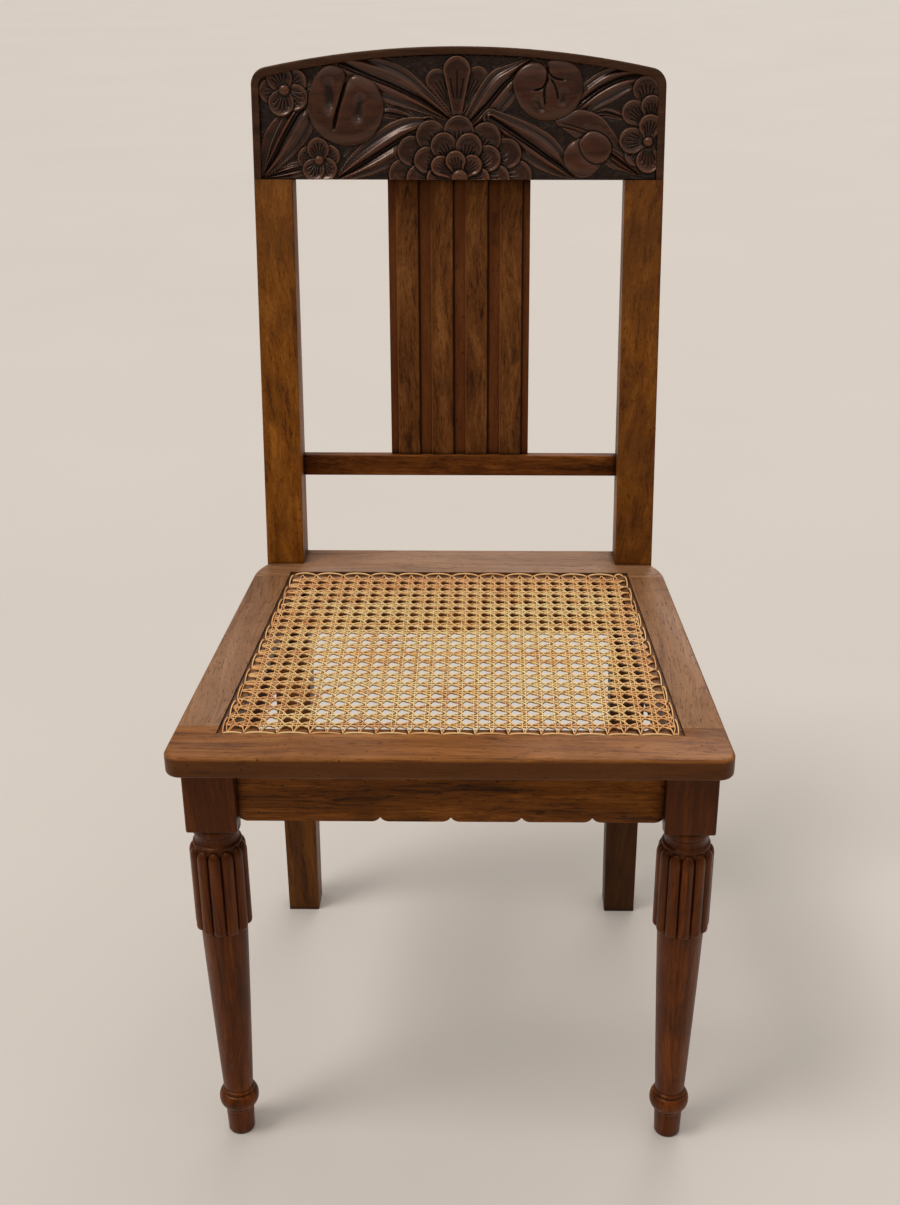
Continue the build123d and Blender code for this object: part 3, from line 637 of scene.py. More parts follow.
# Height and radius at both ends of each stretch of the turned outline, its bulge and its steps
LOW_STRETCHES = (
    ((27.2, 13.0), (32.0, 13.6), 1.2, 10),
    ((32.2, 14.2), (49.0, 14.4), 4.5, 26),
    ((49.2, 13.6), (53.0, 13.5), 1.7, 10),
    ((53.2, 13.4), (54.5, 13.9), 0.0, 2),
    ((54.5, 13.9), (VASE_LOW - 0.5, 21.0), 0.4, 36),
)
NECK_RING = ((334.2, 20.6), (337.5, 20.6), 1.1, 8)
NECK_HOLLOW = ((337.7, 20.4), (347.4, 20.6), -1.8, 14)
NECK_COLLAR = ((347.8, 20.9), (354.9, 20.9), 0.7, 12)

# Half width, corner radius and height of the block's outline, from its worn lower edge up
BLOCK_RINGS = (
    (21.2, 1.2, BLOCK_LOW),
    (22.0, 1.7, BLOCK_LOW + 0.4),
    (22.4, 1.9, BLOCK_LOW + 1.1),
    (BLOCK_HALF, 2.0, BLOCK_LOW + 2.2),
    (BLOCK_HALF, 2.0, BLOCK_TOP - 20.0),
    (BLOCK_HALF, 2.0, BLOCK_TOP),
)


def arc(start, end, bulge, steps):
    """Points of a shallow rounded stretch of a turned outline, without its last point."""
    (z0, r0), (z1, r1) = start, end
    shares = np.arange(steps) / steps
    return [
        (z0 + (z1 - z0) * s, r0 + (r1 - r0) * s + bulge * math.sqrt(max(0.0, 4 * s * (1 - s))))
        for s in shares
    ]


def core_radius(z):
    """The turned core under the reeds."""
    low = max(0.0, 1 - (z - VASE_LOW) / REED_NOSE)
    top = max(0.0, 1 - (VASE_TOP - z) / REED_DOME)
    return VASE_CORE - CORE_STEP * (low**2 + top**2)


def turned_outline():
    """Height and radius of each step of the leg, from the floor to the block."""
    outline = [(0.0, 11.2), (0.6, 12.1), (1.5, 12.5)]
    outline += arc((1.5, 12.5), (27.0, 13.3), 0.0, 6)[1:]
    for stretch in LOW_STRETCHES:
        outline += arc(*stretch)
    outline += [(VASE_LOW - 0.4, 21.0), (VASE_LOW + 0.1, 20.3)]
    for start, end, steps in (
        (VASE_LOW + 0.2, VASE_LOW + REED_NOSE, 12),
        (VASE_LOW + REED_NOSE + 4, VASE_TOP - REED_DOME - 4, 12),
        (VASE_TOP - REED_DOME, VASE_TOP - 0.2, 22),
    ):
        outline += [(z, core_radius(z)) for z in np.linspace(start, end, steps)]
    outline += [(VASE_TOP - 0.1, 20.3)] + arc(*NECK_RING) + arc(*NECK_HOLLOW)
    outline += [(347.6, 20.7)] + arc(*NECK_COLLAR)
    return outline + [(355.4, 20.4), (BLOCK_LOW + 1.0, 20.2)]


def reeded_radius(z, core, angle):
    """Radius in one direction: reeds with domed tops that stand on the turned core."""
    if not VASE_LOW < z < VASE_TOP:
        return core
    pitch = 2 * math.pi / REEDS
    off = abs((angle + pitch / 2) % pitch - pitch / 2) / (pitch / 2)
    top = max(0.0, (z - VASE_TOP + REED_DOME) / REED_DOME)
    low = max(0.0, (VASE_LOW + REED_NOSE - z) / REED_NOSE)
    rise = REED_RISE * math.sqrt(max(0.0, 1.0 - (0.97 * off) ** 2 - top**2 - low**4))
    cut = REED_GROOVE * math.exp(-(((off - 1.0) / GROOVE_WIDTH) ** 2))
    return core + rise - cut * (1.0 - top) * (1.0 - low)


def block_ring(half, ease, z):
    """Rounded square at one height of the leg's block."""
    ring = []
    corner = (half - ease) * math.sqrt(2)
    for quarter in range(4):
        middle = math.pi / 2 * (quarter + 0.5)
        for share in np.linspace(0.0, 1.0, 6):
            angle = math.pi / 2 * (quarter + share)
            x = corner * math.cos(middle) + ease * math.cos(angle)
            y = corner * math.sin(middle) + ease * math.sin(angle)
            ring.append((x, y, z))
    return ring


def closed_rings(rings):
    """Vertices and faces of a body made of rings of equal length, with both ends closed."""
    count = len(rings[0])
    verts = [point for ring in rings for point in ring]
    faces = []
    for k in range(len(rings) - 1):
        low, high = k * count, (k + 1) * count
        for i in range(count):
            j = (i + 1) % count
            faces.append((low + i, low + j, high + j, high + i))
    faces.append(tuple(reversed(range(count))))
    faces.append(tuple(range((len(rings) - 1) * count, len(rings) * count)))
    return verts, faces


def front_leg(node, x):
    """The turned part and the square block on it."""
    angles = np.arange(ROUND_STEPS) / ROUND_STEPS * 2 * math.pi
    rings = [
        [
            (reeded_radius(z, r, a) * math.cos(a), reeded_radius(z, r, a) * math.sin(a), z)
            for a in angles
        ]
        for z, r in turned_outline()
    ]
    turned = closed_rings(rings)
    block = closed_rings([block_ring(*ring) for ring in BLOCK_RINGS])
    start = len(turned[0])
    verts = [((px + x) * MM, (py + LEG_Y) * MM, pz * MM) for px, py, pz in turned[0] + block[0]]
    faces = turned[1] + [tuple(start + i for i in face) for face in block[1]]
    mesh = closed_mesh(node + "_shown", verts, faces)
    mesh.set_sharp_from_angle(angle=LEG_SHARP_ANGLE)
    show(node + "_shown", mesh, leg_wood, "polished_wood", node)


front_leg("front_leg_left", -LEG_X)
front_leg("front_leg_right", LEG_X)

# ---- woven seat

PAIR_BEND = 8.0  # length over which a strand comes up out of its hole
DIAGONAL_BEND = 10.0
SHORTEST = 2.5  # times the bend: no shorter strand is woven
HOLE_EXIT = ((0.0, -4.0), (0.5, -0.4), (2.0, 0.7))  # out from a hole's middle, up from the ledge
FLAT_FROM = 0.55  # share of the bend after which a strand is nearly level
DIAGONAL_REACH = 30  # columns to either side of the middle where diagonals may start
PAIR_SIZES = {
    "Strand width": 2.05 * MM,
    "Strand thickness": 0.8 * MM,
    "Rise": 0.42 * MM,
    "Step": 1.2 * MM,
}
DIAGONAL_SIZES = {
    "Strand width": 2.3 * MM,
    "Strand thickness": 0.8 * MM,
    "Rise": 0.95 * MM,
    "Step": 1.6 * MM,
}
BINDER_SIZES = {
    "Strand width": 2.7 * MM,
    "Strand thickness": 1.2 * MM,
    "Rise": 0.0,
    "Step": 1.3 * MM,
}

columns = [(k - (COLUMNS - 1) / 2) * COLUMN_PITCH for k in range(COLUMNS)]
rows = [HOLE_FRONT + FIRST_ROW + k * ROW_PITCH for k in range(ROWS)]
holes = [(x, HOLE_FRONT) for x in columns]
holes += [(x, HOLE_BACK) for x in columns if abs(x) < hole_line_x(HOLE_BACK)]
holes += [(side * hole_line_x(y), y) for y in rows for side in (-1, 1)]


def hole_edge_crossings(point, direction):
    """Where a straight line meets the line of holes, at its two ends."""
    px, py = point
    dx, dy = direction
    low, high = -math.inf, math.inf
    side_reach = hole_line_x(0.0)
    for nx, ny, reach in (
        (0, -1, -HOLE_FRONT),
        (0, 1, HOLE_BACK),
        (1, SEAT_TAPER, side_reach),
        (-1, SEAT_TAPER, side_reach),
    ):
        speed = nx * dx + ny * dy
        room = reach - (nx * px + ny * py)
        if abs(speed) < 1e-9:
            continue
        if speed > 0:
            high = min(high, room / speed)
        else:
            low = max(low, room / speed)
    return low, high


def nearest_hole(point):
    return min(holes, key=lambda hole: math.hypot(hole[0] - point[0], hole[1] - point[1]))


def strand_route(point, direction, bend):
    """A strand's route: out of a hole, straight across the seat, and down into another hole."""
    low, high = hole_edge_crossings(point, direction)
    if high - low < SHORTEST * bend:
        return None

    def at(distance):
        return point[0] + direction[0] * distance, point[1] + direction[1] * distance

    def into(end, inner):
        hx, hy = nearest_hole(at(end))
        ix, iy = at(inner)
        length = math.hypot(ix - hx, iy - hy)
        ux, uy = (ix - hx) / length, (iy - hy) / length
        rise = [(hx + ux * out, hy + uy * out, LEDGE_SHOWN + up) for out, up in HOLE_EXIT]
        x, y = hx + ux * length * FLAT_FROM, hy + uy * length * FLAT_FROM
        return rise + [(x, y, WEAVE_LEVEL - 0.1)]

    first, last = at(low + bend), at(high - bend)
    route = into(low, low + bend)
    route += [first + (WEAVE_LEVEL,), last + (WEAVE_LEVEL,)]
    return route + into(high, high - bend)[::-1]


def strand_routes(points, direction, bend):
    """The routes through some points, without those too short to weave."""
    routes = [strand_route(point, direction, bend) for point in points]
    return [route for route in routes if route]


def route_mesh(name, routes):
    """Open lines, one for each strand, with a number of their own for tone."""
    tones = np.random.default_rng(7)
    verts, edges, strand = [], [], []
    for route in routes:
        start = len(verts)
        verts += [(x * MM, y * MM, z * MM) for x, y, z in route]
        edges += [(start + i, start + i + 1) for i in range(len(route) - 1)]
        strand += [float(tones.random())] * len(route)
    mesh = bpy.data.meshes.new(name)
    mesh.from_pydata(verts, edges, [])
    mesh.attributes.new("strand", "FLOAT", "POINT").data.foreach_set("value", strand)
    return mesh


def strand_tree(name, lift):
    """Geometry Nodes that turn lines into flat strands of cane that rise and dip as they cross."""
    tree = bpy.data.node_groups.new(name, "GeometryNodeTree")
    face = tree.interface
    face.new_socket("Lines", in_out="INPUT", socket_type="NodeSocketGeometry")
    for label, value in PAIR_SIZES.items():
        face.new_socket(label, in_out="INPUT", socket_type="NodeSocketFloat").default_value = value
    face.new_socket("Finish", in_out="INPUT", socket_type="NodeSocketMaterial")
    face.new_socket("Cane", in_out="OUTPUT", socket_type="NodeSocketGeometry")
    graph = Graph(tree)
    given = graph.add("NodeGroupInput").socket.node.outputs
    width, thickness, rise, step, finish = (
        Signal(graph, given[label]) for label in (*PAIR_SIZES, "Finish")
    )
    curves = graph.add("GeometryNodeMeshToCurve", {"Mesh": Signal(graph, given["Lines"])})
    sockets = {"Curve": curves, "Length": step}
    curves = graph.add("GeometryNodeResampleCurve", sockets, mode="LENGTH")
    x, y, _ = graph.split(graph.add("GeometryNodeInputPosition"))
    offset = graph.vector(0.0, 0.0, lift(x * 1000.0, y * 1000.0) * rise)
    curves = graph.add("GeometryNodeSetPosition", {"Geometry": curves, "Offset": offset})
    curves = graph.add("GeometryNodeSetCurveNormal", {"Curve": curves}, mode="Z_UP")
    circle = graph.add("GeometryNodeCurvePrimitiveCircle", {"Resolution": 6, "Radius": 0.5})
    scale = graph.vector(thickness, width, 1.0)
    oval = graph.add("GeometryNodeTransform", {"Geometry": circle, "Scale": scale})
    sockets = {"Curve": curves, "Profile Curve": oval, "Fill Caps": True}
    strands = graph.add("GeometryNodeCurveToMesh", sockets)
    strands = graph.add("GeometryNodeRealizeInstances", {"Geometry": strands})
    strands = graph.add("GeometryNodeSetShadeSmooth", {"Geometry": strands})
    strands = graph.add("GeometryNodeSetMaterial", {"Geometry": strands, "Material": finish})
    graph.add("NodeGroupOutput", {"Cane": strands})
    return tree


def woven(node, routes, lift, sizes, finish=woven_cane, slot="cane"):
    """One layer of the seat, from its routes and the way it rises and dips."""
    name = node + "_shown"
    tree = strand_tree(name, lift)
    holder = put_in(name + "_lines", route_mesh(name + "_lines", routes))
    modifier = holder.modifiers.new("weave", "NODES")
    modifier.node_group = tree
    sockets = {item.name: item.identifier for item in tree.interface.items_tree}
    for label, value in sizes.items():
        modifier[sockets[label]] = value
    modifier[sockets["Finish"]] = finish
    show(name, worked_out(holder), finish, slot, node)


def from_nearest(value, first, pitch):
    """Distance to the nearest of a row of evenly spaced places."""
    return (value - first).math("WRAP", pitch / 2, -pitch / 2)


def pair_wave(distance):
    """One over-and-under across a pair of strands, level elsewhere."""
    near = distance.math("ABSOLUTE").math("LESS_THAN", PAIR)
    return near * (distance * (math.pi / PAIR)).math("SINE")


def front_to_back_lift(x, y):
    side = from_nearest(x, columns[0], COLUMN_PITCH).math("SIGN")
    return side * pair_wave(from_nearest(y, rows[0], ROW_PITCH)) * -1.0


def side_to_side_lift(x, y):
    side = from_nearest(y, rows[0], ROW_PITCH).math("SIGN")
    return side * pair_wave(from_nearest(x, columns[0], COLUMN_PITCH))


def over_rows(_, y):
    return ((y - rows[0]) * (2 * math.pi / ROW_PITCH)).math("COSINE")


def over_columns(x, y):
    return over_rows(x, y) * -1.0


def level_lift(x, _):
    """No rise or dip, for strands that cross nothing."""
    return x * 0.0


def diagonal_routes(lean):
    """Diagonal strands that cross each row halfway between its columns."""
    length = math.hypot(COLUMN_PITCH, ROW_PITCH)
    direction = (lean * COLUMN_PITCH / length, ROW_PITCH / length)
    starts = range(-DIAGONAL_REACH, DIAGONAL_REACH + 1)
    points = [(k * COLUMN_PITCH, rows[ROWS // 2]) for k in starts]
    return strand_routes(points, direction, DIAGONAL_BEND)


column_strands = [(x + side * PAIR / 2, 0.0) for x in columns for side in (-1, 1)]
row_strands = [(0.0, y + side * PAIR / 2) for y in rows for side in (-1, 1)]
front_to_back = strand_routes(column_strands, (0, 1), PAIR_BEND)
side_to_side = strand_routes(row_strands, (1, 0), PAIR_BEND)
woven("cane_front_to_back", front_to_back, front_to_back_lift, PAIR_SIZES)
woven("cane_side_to_side", side_to_side, side_to_side_lift, PAIR_SIZES)
woven("cane_diagonal_left", diagonal_routes(-1), over_columns, DIAGONAL_SIZES)
woven("cane_diagonal_right", diagonal_routes(1), over_rows, DIAGONAL_SIZES)


STITCH_DEPTH = 2.6  # of the ends of a stitch below the ledge
STITCH_STEPS = 15


def edge_loop(start, end, away, bulge, rise):
    """One stitch of the binder, up out of a hole and down into the next but one."""
    route = []
    for share in np.linspace(0.0, 1.0, STITCH_STEPS):
        bow = math.sin(math.pi * share)
        out = bulge * bow**0.5 - 0.5 + 1.2 * share
        x, y = (a + (b - a) * share + way * out for a, b, way in zip(start, end, away))
        route.append((x, y, LEDGE_SHOWN - STITCH_DEPTH + rise * bow**0.35))
    return route


side_ends = [(hole_line_x(y), y) for y in [HOLE_FRONT] + rows[1::2] + [HOLE_BACK]]
rear_ends = [(hole_line_x(HOLE_BACK), HOLE_BACK)]
rear_ends += [(x, HOLE_BACK) for x in columns[::-2] if abs(x) < hole_line_x(HOLE_BACK) - 4.0]
rear_ends += [(-hole_line_x(HOLE_BACK), HOLE_BACK)]
front_ends = [(-hole_line_x(HOLE_FRONT), HOLE_FRONT)]
front_ends += [(x, HOLE_FRONT) for x in columns[1::2]] + [(hole_line_x(HOLE_FRONT), HOLE_FRONT)]
stitches = []
for a, b in zip(side_ends, side_ends[1:]):
    stitches.append(edge_loop(a, b, (1.0, 0.0), 1.1, 4.5))
    stitches.append(edge_loop((-a[0], a[1]), (-b[0], b[1]), (-1.0, 0.0), 1.1, 4.5))
for a, b in zip(rear_ends, rear_ends[1:]):
    stitches.append(edge_loop(a, b, (0.0, 1.0), 1.0, 4.3))
for a, b in zip(front_ends, front_ends[1:]):
    stitches.append(edge_loop(a, b, (0.0, -1.0), 1.5, 3.9))
woven("cane_binder", stitches, level_lift, BINDER_SIZES, edge_cane, "cane_binder")

# ---- carving on the crest rail

FIELD_HALF = CREST_HALF - CREST_BORDER
ARCH_RADIUS = (CREST_HALF**2 + (CREST_MIDDLE - CREST_END) ** 2) / (2 * (CREST_MIDDLE - CREST_END))
FIELD_STEP = 0.5
FIELD_GAP = 0.02  # between the carving and the recess's walls
GROUND = 0.7
CHATTER = 0.9  # unevenness of the ground, before it is softened
CARVING_BOLDNESS = 1.38  # all heights of the relief are multiplied by this
CARVING_BACK = -0.5  # level of the carving's hidden back
KEPT_SHARE = 0.52  # of the carving's triangles


def field_top(x):
    """Top of the carved field above the board's lower edge, under its arched border."""
    centre = CREST_MIDDLE - ARCH_RADIUS
    inner = ARCH_RADIUS - CREST_BORDER
    corner = CREST_CORNER - CREST_BORDER
    arch = centre + np.sqrt(inner**2 - x**2)
    corner_x = FIELD_HALF - corner
    corner_t = centre + math.sqrt((inner - corner) ** 2 - corner_x**2)
    beyond = np.clip(np.abs(x) - corner_x, 0.0, corner)
    rounded = corner_t + np.sqrt(np.maximum(corner**2 - beyond**2, 0.0))
    return np.where(np.abs(x) > corner_x * inner / (inner - corner), rounded, arch)


def smooth_curve(points, closed=False, steps=14):
    """Points on a smooth curve through the given ones."""
    given = np.array(points, float)
    if closed:
        given = np.vstack([given[-1], given, given[0], given[1]])
    else:
        given = np.vstack([2 * given[0] - given[1], given, 2 * given[-1] - given[-2]])
    s = (np.arange(steps) / steps)[:, None]
    parts = []
    for a, b, c, d in zip(given, given[1:], given[2:], given[3:]):
        square, cube = 2 * a - 5 * b + 4 * c - d, 3 * b - a - 3 * c + d
        parts.append(0.5 * (2 * b + (c - a) * s + square * s**2 + cube * s**3))
    if not closed:
        parts.append(given[-2:-1])
    return np.vstack(parts)


def beside(curve, x, t):
    """Distance to a curve, share of the way along it and side of it (left is positive)."""
    gap = np.hypot(x[..., None] - curve[:, 0], t[..., None] - curve[:, 1])
    near = gap.argmin(-1)
    way = np.gradient(curve, axis=0)[near]
    way /= np.hypot(way[..., 0], way[..., 1])[..., None]
    dx, dt = x - curve[near, 0], t - curve[near, 1]
    side = way[..., 0] * dt - way[..., 1] * dx
    at_end = (near == 0) | (near == len(curve) - 1)
    distance = np.where(at_end, gap.min(-1), np.abs(side))
    return distance, near / (len(curve) - 1), np.sign(side)


def within(curve, x, t):
    """Distance in from a closed curve, negative outside it."""
    gap = np.hypot(x[..., None] - curve[:, 0], t[..., None] - curve[:, 1]).min(-1)
    x0, t0 = curve[:, 0], curve[:, 1]
    x1, t1 = np.roll(x0, -1), np.roll(t0, -1)
    place = t[..., None]
    spans = (t0 > place) != (t1 > place)
    rise = np.where(t1 == t0, 1e-9, t1 - t0)
    crossings = spans & (x[..., None] < x0 + (place - t0) * (x1 - x0) / rise)
    return np.where(crossings.sum(-1) % 2 == 1, gap, -gap)


def ramp(value, low, high):
    """0 below low, 1 above high, and a smooth rise between them."""
    share = np.clip((value - low) / (high - low), 0.0, 1.0)
    return share * share * (3.0 - 2.0 * share)


def bell(value, width):
    """1 at 0, and less to either side."""
    return np.exp(-((value / width) ** 2))


def dome(depth, reach):
    """A rounded rise from 0 at an outline to 1 at some reach in from it."""
    return np.sqrt(1.0 - (1.0 - np.clip(depth / reach, 0.0, 1.0)) ** 2)


def soften(values, rounds):
    """Values evened out with their neighbours."""
    for _ in range(rounds):
        values = (values + np.roll(values, 1, 0) + np.roll(values, -1, 0)) / 3
        values = (values + np.roll(values, 1, 1) + np.roll(values, -1, 1)) / 3
    return values


class Relief:
    """Carved heights over the crest's field, in mm. Each form is laid over those before it.

    x runs from the board's middle and t up from its lower edge."""

    def __init__(self):
        across = np.arange(-FIELD_HALF, FIELD_HALF + FIELD_STEP, FIELD_STEP)
        up = np.arange(0.0, CREST_MIDDLE, FIELD_STEP)
        self.x, self.t = np.meshgrid(across, up)
        chatter = np.random.default_rng(3).normal(size=self.x.shape)
        self.height = GROUND + CHATTER * soften(chatter, 10)
        # cut and edge mark where the finish paints shade in the cuts and a highlight on each form's
        # rim
        self.cut = np.zeros(self.x.shape)
        self.edge = np.zeros(self.x.shape)

    def window(self, points, margin):
        """The part of the field round some points."""
        spots = np.array(points, float)
        (x0, t0), (x1, t1) = spots.min(0) - margin, spots.max(0) + margin
        i0, i1 = (int(max(0, (v + FIELD_HALF) // FIELD_STEP)) for v in (x0, x1))
        j0, j1 = (int(max(0, v // FIELD_STEP)) for v in (t0, t1))
        return slice(j0, j1 + 2), slice(i0, i1 + 2)

    def lay(self, view, depth, height, roll=1.3, sink=0.45):
        """Lays a form where depth, the distance in from its outline, is above 0."""
        outside = np.clip(-depth, 0.0, None)
        under = self.height[view] * (1.0 - sink * np.exp(-outside / 2.6)) - 0.4 * bell(outside, 0.8)
        form = height * (0.7 + 0.3 * dome(depth, roll))
        wall = ramp(depth, -0.4, 0.4)
        self.height[view] = np.maximum(under, 0.05) * (1.0 - wall) + form * wall
        # A ring of painted shade just outside the form, and a painted highlight just inside its
        # outline
        self.cut[view] = np.maximum(self.cut[view] * (1.0 - wall), 0.9 * bell(depth + 0.7, 0.6))
        self.edge[view] = np.maximum(self.edge[view] * (1.0 - wall), bell(depth - 0.5, 0.4))

    def groove(self, view, distance, depth, width, share=1.0):
        """A cut along a line, from the distance to it."""
        line = bell(distance, width) * share
        self.height[view] = np.maximum(self.height[view] - depth * line, 0.05)
        self.cut[view] = np.maximum(self.cut[view], line)

    def along(self, points, reach):
        """The field near a curve, with distance to it, share of the way and side."""
        view = self.window(points, reach)
        return view, *beside(smooth_curve(points), self.x[view], self.t[view])

    def line(self, points, depth, width, fade=0.2):
        """A cut that runs out at both ends."""
        view, distance, share, _ = self.along(points, 3 * width + 1.0)
        ends = np.minimum(ramp(share, 0.0, fade), ramp(1.0 - share, 0.0, fade))
        self.groove(view, distance, depth, width, ends)

    def form(self, outline, height, crown=0.0, spread=8.0, roll=1.3):
        """A form with any outline, domed by crown over the spread from its edge."""
        view = self.window(outline, 4.0)
        depth = within(smooth_curve(outline, closed=True), self.x[view], self.t[view])
        self.lay(view, depth, height + crown * dome(depth, spread), roll)

    def hollow(self, points, depth, width):
        """A shallow dished stretch along a line, with nothing cut."""
        view, distance, share, _ = self.along(points, 3 * width)
        ends = np.minimum(ramp(share, 0.0, 0.35), ramp(1.0 - share, 0.0, 0.35))
        self.height[view] -= depth * bell(distance, width) * ends

    def leaf(self, spine, left, right, height=3.4, base=0.5, peak=0.45, rib=1.9):
        """A long leaf from its base to its tip: two curled halves beside a double-lined rib."""
        view, distance, share, side = self.along(spine, max(left, right) + 4.0)
        swell = base + (1.0 - base) * np.sin(np.clip(share / peak, 0.0, 1.0) * math.pi / 2)
        fade = np.cos(np.clip((share - peak) / (1.0 - peak), 0.0, 1.0) * math.pi / 2) ** 0.8
        half = np.where(side > 0, left, right) * swell * fade + 1e-3
        reach = np.clip(distance / half, 0.0, 1.2)
        flank = np.where(side > 0, 0.42, 0.3)
        curl = 0.28 + 0.78 * bell(reach - flank, 0.22) + 0.34 * ramp(reach, 0.66, 0.96)
        self.lay(view, half - distance, height * curl)
        rib_half = rib * (1.0 - 0.75 * share)
        inside = ramp(half - distance, 0.3, 1.2)
        self.height[view] += 0.8 * bell(distance, rib_half + 0.6) * inside
        self.groove(view, distance - rib_half, 1.9, 0.62, inside)

    def petal(self, foot, angle, reach, radius, height=3.0, cuts=5):
        """A round-ended petal that fans out from its foot, with short gouged lines."""
        way = np.array([math.cos(angle), math.sin(angle)])
        middle = np.array(foot) + way * reach
        view = self.window([foot, middle], radius + 3.0)
        dx, dt = self.x[view] - foot[0], self.t[view] - foot[1]
        ahead = dx * way[0] + dt * way[1]
        off = np.abs(dt * way[0] - dx * way[1])
        share = np.clip(ahead / reach, 0.0, 1.0)
        stem = radius * (0.3 + 0.7 * share) - np.hypot(off, np.minimum(ahead, 0.0))
        disc = radius - np.hypot(self.x[view] - middle[0], self.t[view] - middle[1])
        depth = np.where(ahead < reach, np.maximum(stem - 2.0 * (ahead < 0), disc), disc)
        dish = 0.5 + 0.35 * np.clip(ahead / (reach + radius), 0.0, 1.0)
        dish = dish + 0.3 * bell(depth - 0.8, 1.7)
        self.lay(view, depth, height * dish, roll=0.9)
        turn = np.arctan2(dt * way[0] - dx * way[1], ahead)
        out = np.hypot(dx, dt) / (reach + radius)
        length = ramp(out, 0.24, 0.34) * ramp(0.86 - out, 0.0, 0.14)
        spread = 0.62 * math.atan2(radius, reach)
        for k in range(cuts):
            ray = spread * (2.0 * k / (cuts - 1) - 1.0)
            miss = (turn - ray) * np.hypot(dx, dt)
            shorter = length * ramp(0.92 - 0.22 * abs(ray) / spread - out, 0.0, 0.08)
            self.groove(view, miss, 1.2, 0.52, shorter * (ahead > 0))

    def boss(self, middle, radius, height):
        """A round knob."""
        view = self.window([middle], radius + 3.0)
        depth = radius - np.hypot(self.x[view] - middle[0], self.t[view] - middle[1])
        self.lay(view, depth, height * (0.55 + 0.45 * dome(depth, radius)), roll=0.8)

    def flower(self, middle, radius, turn, height=3.2):
        """Five petals round a small boss."""
        for k in (0, 2, 4, 1, 3):
            angle = turn + 2 * math.pi * k / 5
            self.petal(middle, angle, 0.5 * radius, 0.5 * radius, height)
        self.boss(middle, 0.2 * radius, height + 1.4)


def carve_left(relief):
    """Left half: two flowers, a split fruit and long leaves."""
    blade = [(-195.5, 2), (-196.5, 22), (-195, 36), (-190, 47)]
    blade += [(-181, 58), (-170, 68), (-160, 60), (-178, 28)]
    relief.form(blade, 2.2)
    relief.leaf([(-134, 15), (-157, 11), (-174, 7), (-194, 1.5)], 8, 7, 2.4, rib=0.8)
    relief.leaf([(-146, 82), (-158, 64), (-175, 37), (-195, 2)], 21, 10.5, 3.6, base=0.8, peak=0.5)
    relief.leaf([(-78, 82), (-63, 71), (-38, 54)], 6, 5, 2.4, rib=0.7)
    relief.leaf([(-80, 64), (-62, 62), (-40, 57)], 5, 5, 2.2, rib=0.7)
    relief.leaf([(-116, 109), (-90, 98), (-66, 89), (-41, 77), (-4, 55)], 21, 17, 3.7, base=0.75)
    relief.leaf([(-30, 50), (-55, 39), (-91, 18), (-122, 0)], 18, 19, 3.7, base=0.55, peak=0.4)
    relief.line([(-115, 22), (-106, 31)], 1.2, 0.6)
    relief.line([(-112, 20), (-102, 30)], 1.2, 0.6)
    relief.flower((-171.2, 84.5), 25.0, math.radians(39))
    relief.flower((-138.4, 18.4), 21.5, math.radians(22))
    fruit = [(-123.8, 109.7), (-113.5, 103.5), (-110.2, 92.6), (-104.0, 97.8)]
    fruit += [(-95.0, 98.0), (-82.0, 90.0), (-74.2, 72.0), (-78.0, 52.0)]
    fruit += [(-90.0, 38.0), (-107.0, 32.4), (-124.0, 35.0), (-138.0, 43.5)]
    fruit += [(-146.6, 58.0), (-147.4, 77.0), (-141.5, 96.0), (-132.5, 107.0)]
    relief.form(fruit, 1.5, crown=3.6, spread=15.0, roll=1.6)
    relief.hollow([(-129, 99), (-126.5, 82), (-127, 58)], 3.0, 5.2)
    relief.hollow([(-93, 84), (-98.5, 68), (-99.5, 50)], 2.7, 5.0)
    cleft = [(-108.6, 97.5), (-115.0, 78.0), (-120.5, 60.0), (-123.4, 45.5)]
    relief.hollow(cleft, 1.4, 3.0)
    relief.line(cleft, 3.0, 1.1, fade=0.12)


def carve_palmette(relief):
    """Three upright petals at the top of the middle, behind the leaves."""
    foot = (-1.4, 60.0)
    relief.petal(foot, math.radians(120), 39.0, 11.0, 3.0, cuts=4)
    relief.petal(foot, math.radians(61), 42.0, 10.5, 3.0, cuts=4)
    relief.petal(foot, math.radians(90), 43.5, 13.2, 4.0, cuts=3)


def carve_rosette(relief):
    """Half rosette of scale petals on the lower edge: each petal by its angle and its reach."""
    middle = (1.1, 1.5)
    tiers = (
        (3.0, 14.6, ((176, 56), (3, 57), (151, 53.5), (27, 52), (125, 49.5), (56, 46.5), (91, 45))),
        (4.0, 12.8, ((180, 40), (0, 37), (152, 36.5), (34, 33.5), (117, 34.5), (73, 31.5))),
        (4.9, 9.8, ((180, 23), (0, 20), (148, 22), (46, 17.5), (104, 17))),
    )
    for height, radius, petals in tiers:
        for angle, reach in petals:
            relief.petal(middle, math.radians(angle), reach, radius, height)
    relief.boss(middle, 8.0, 5.2)


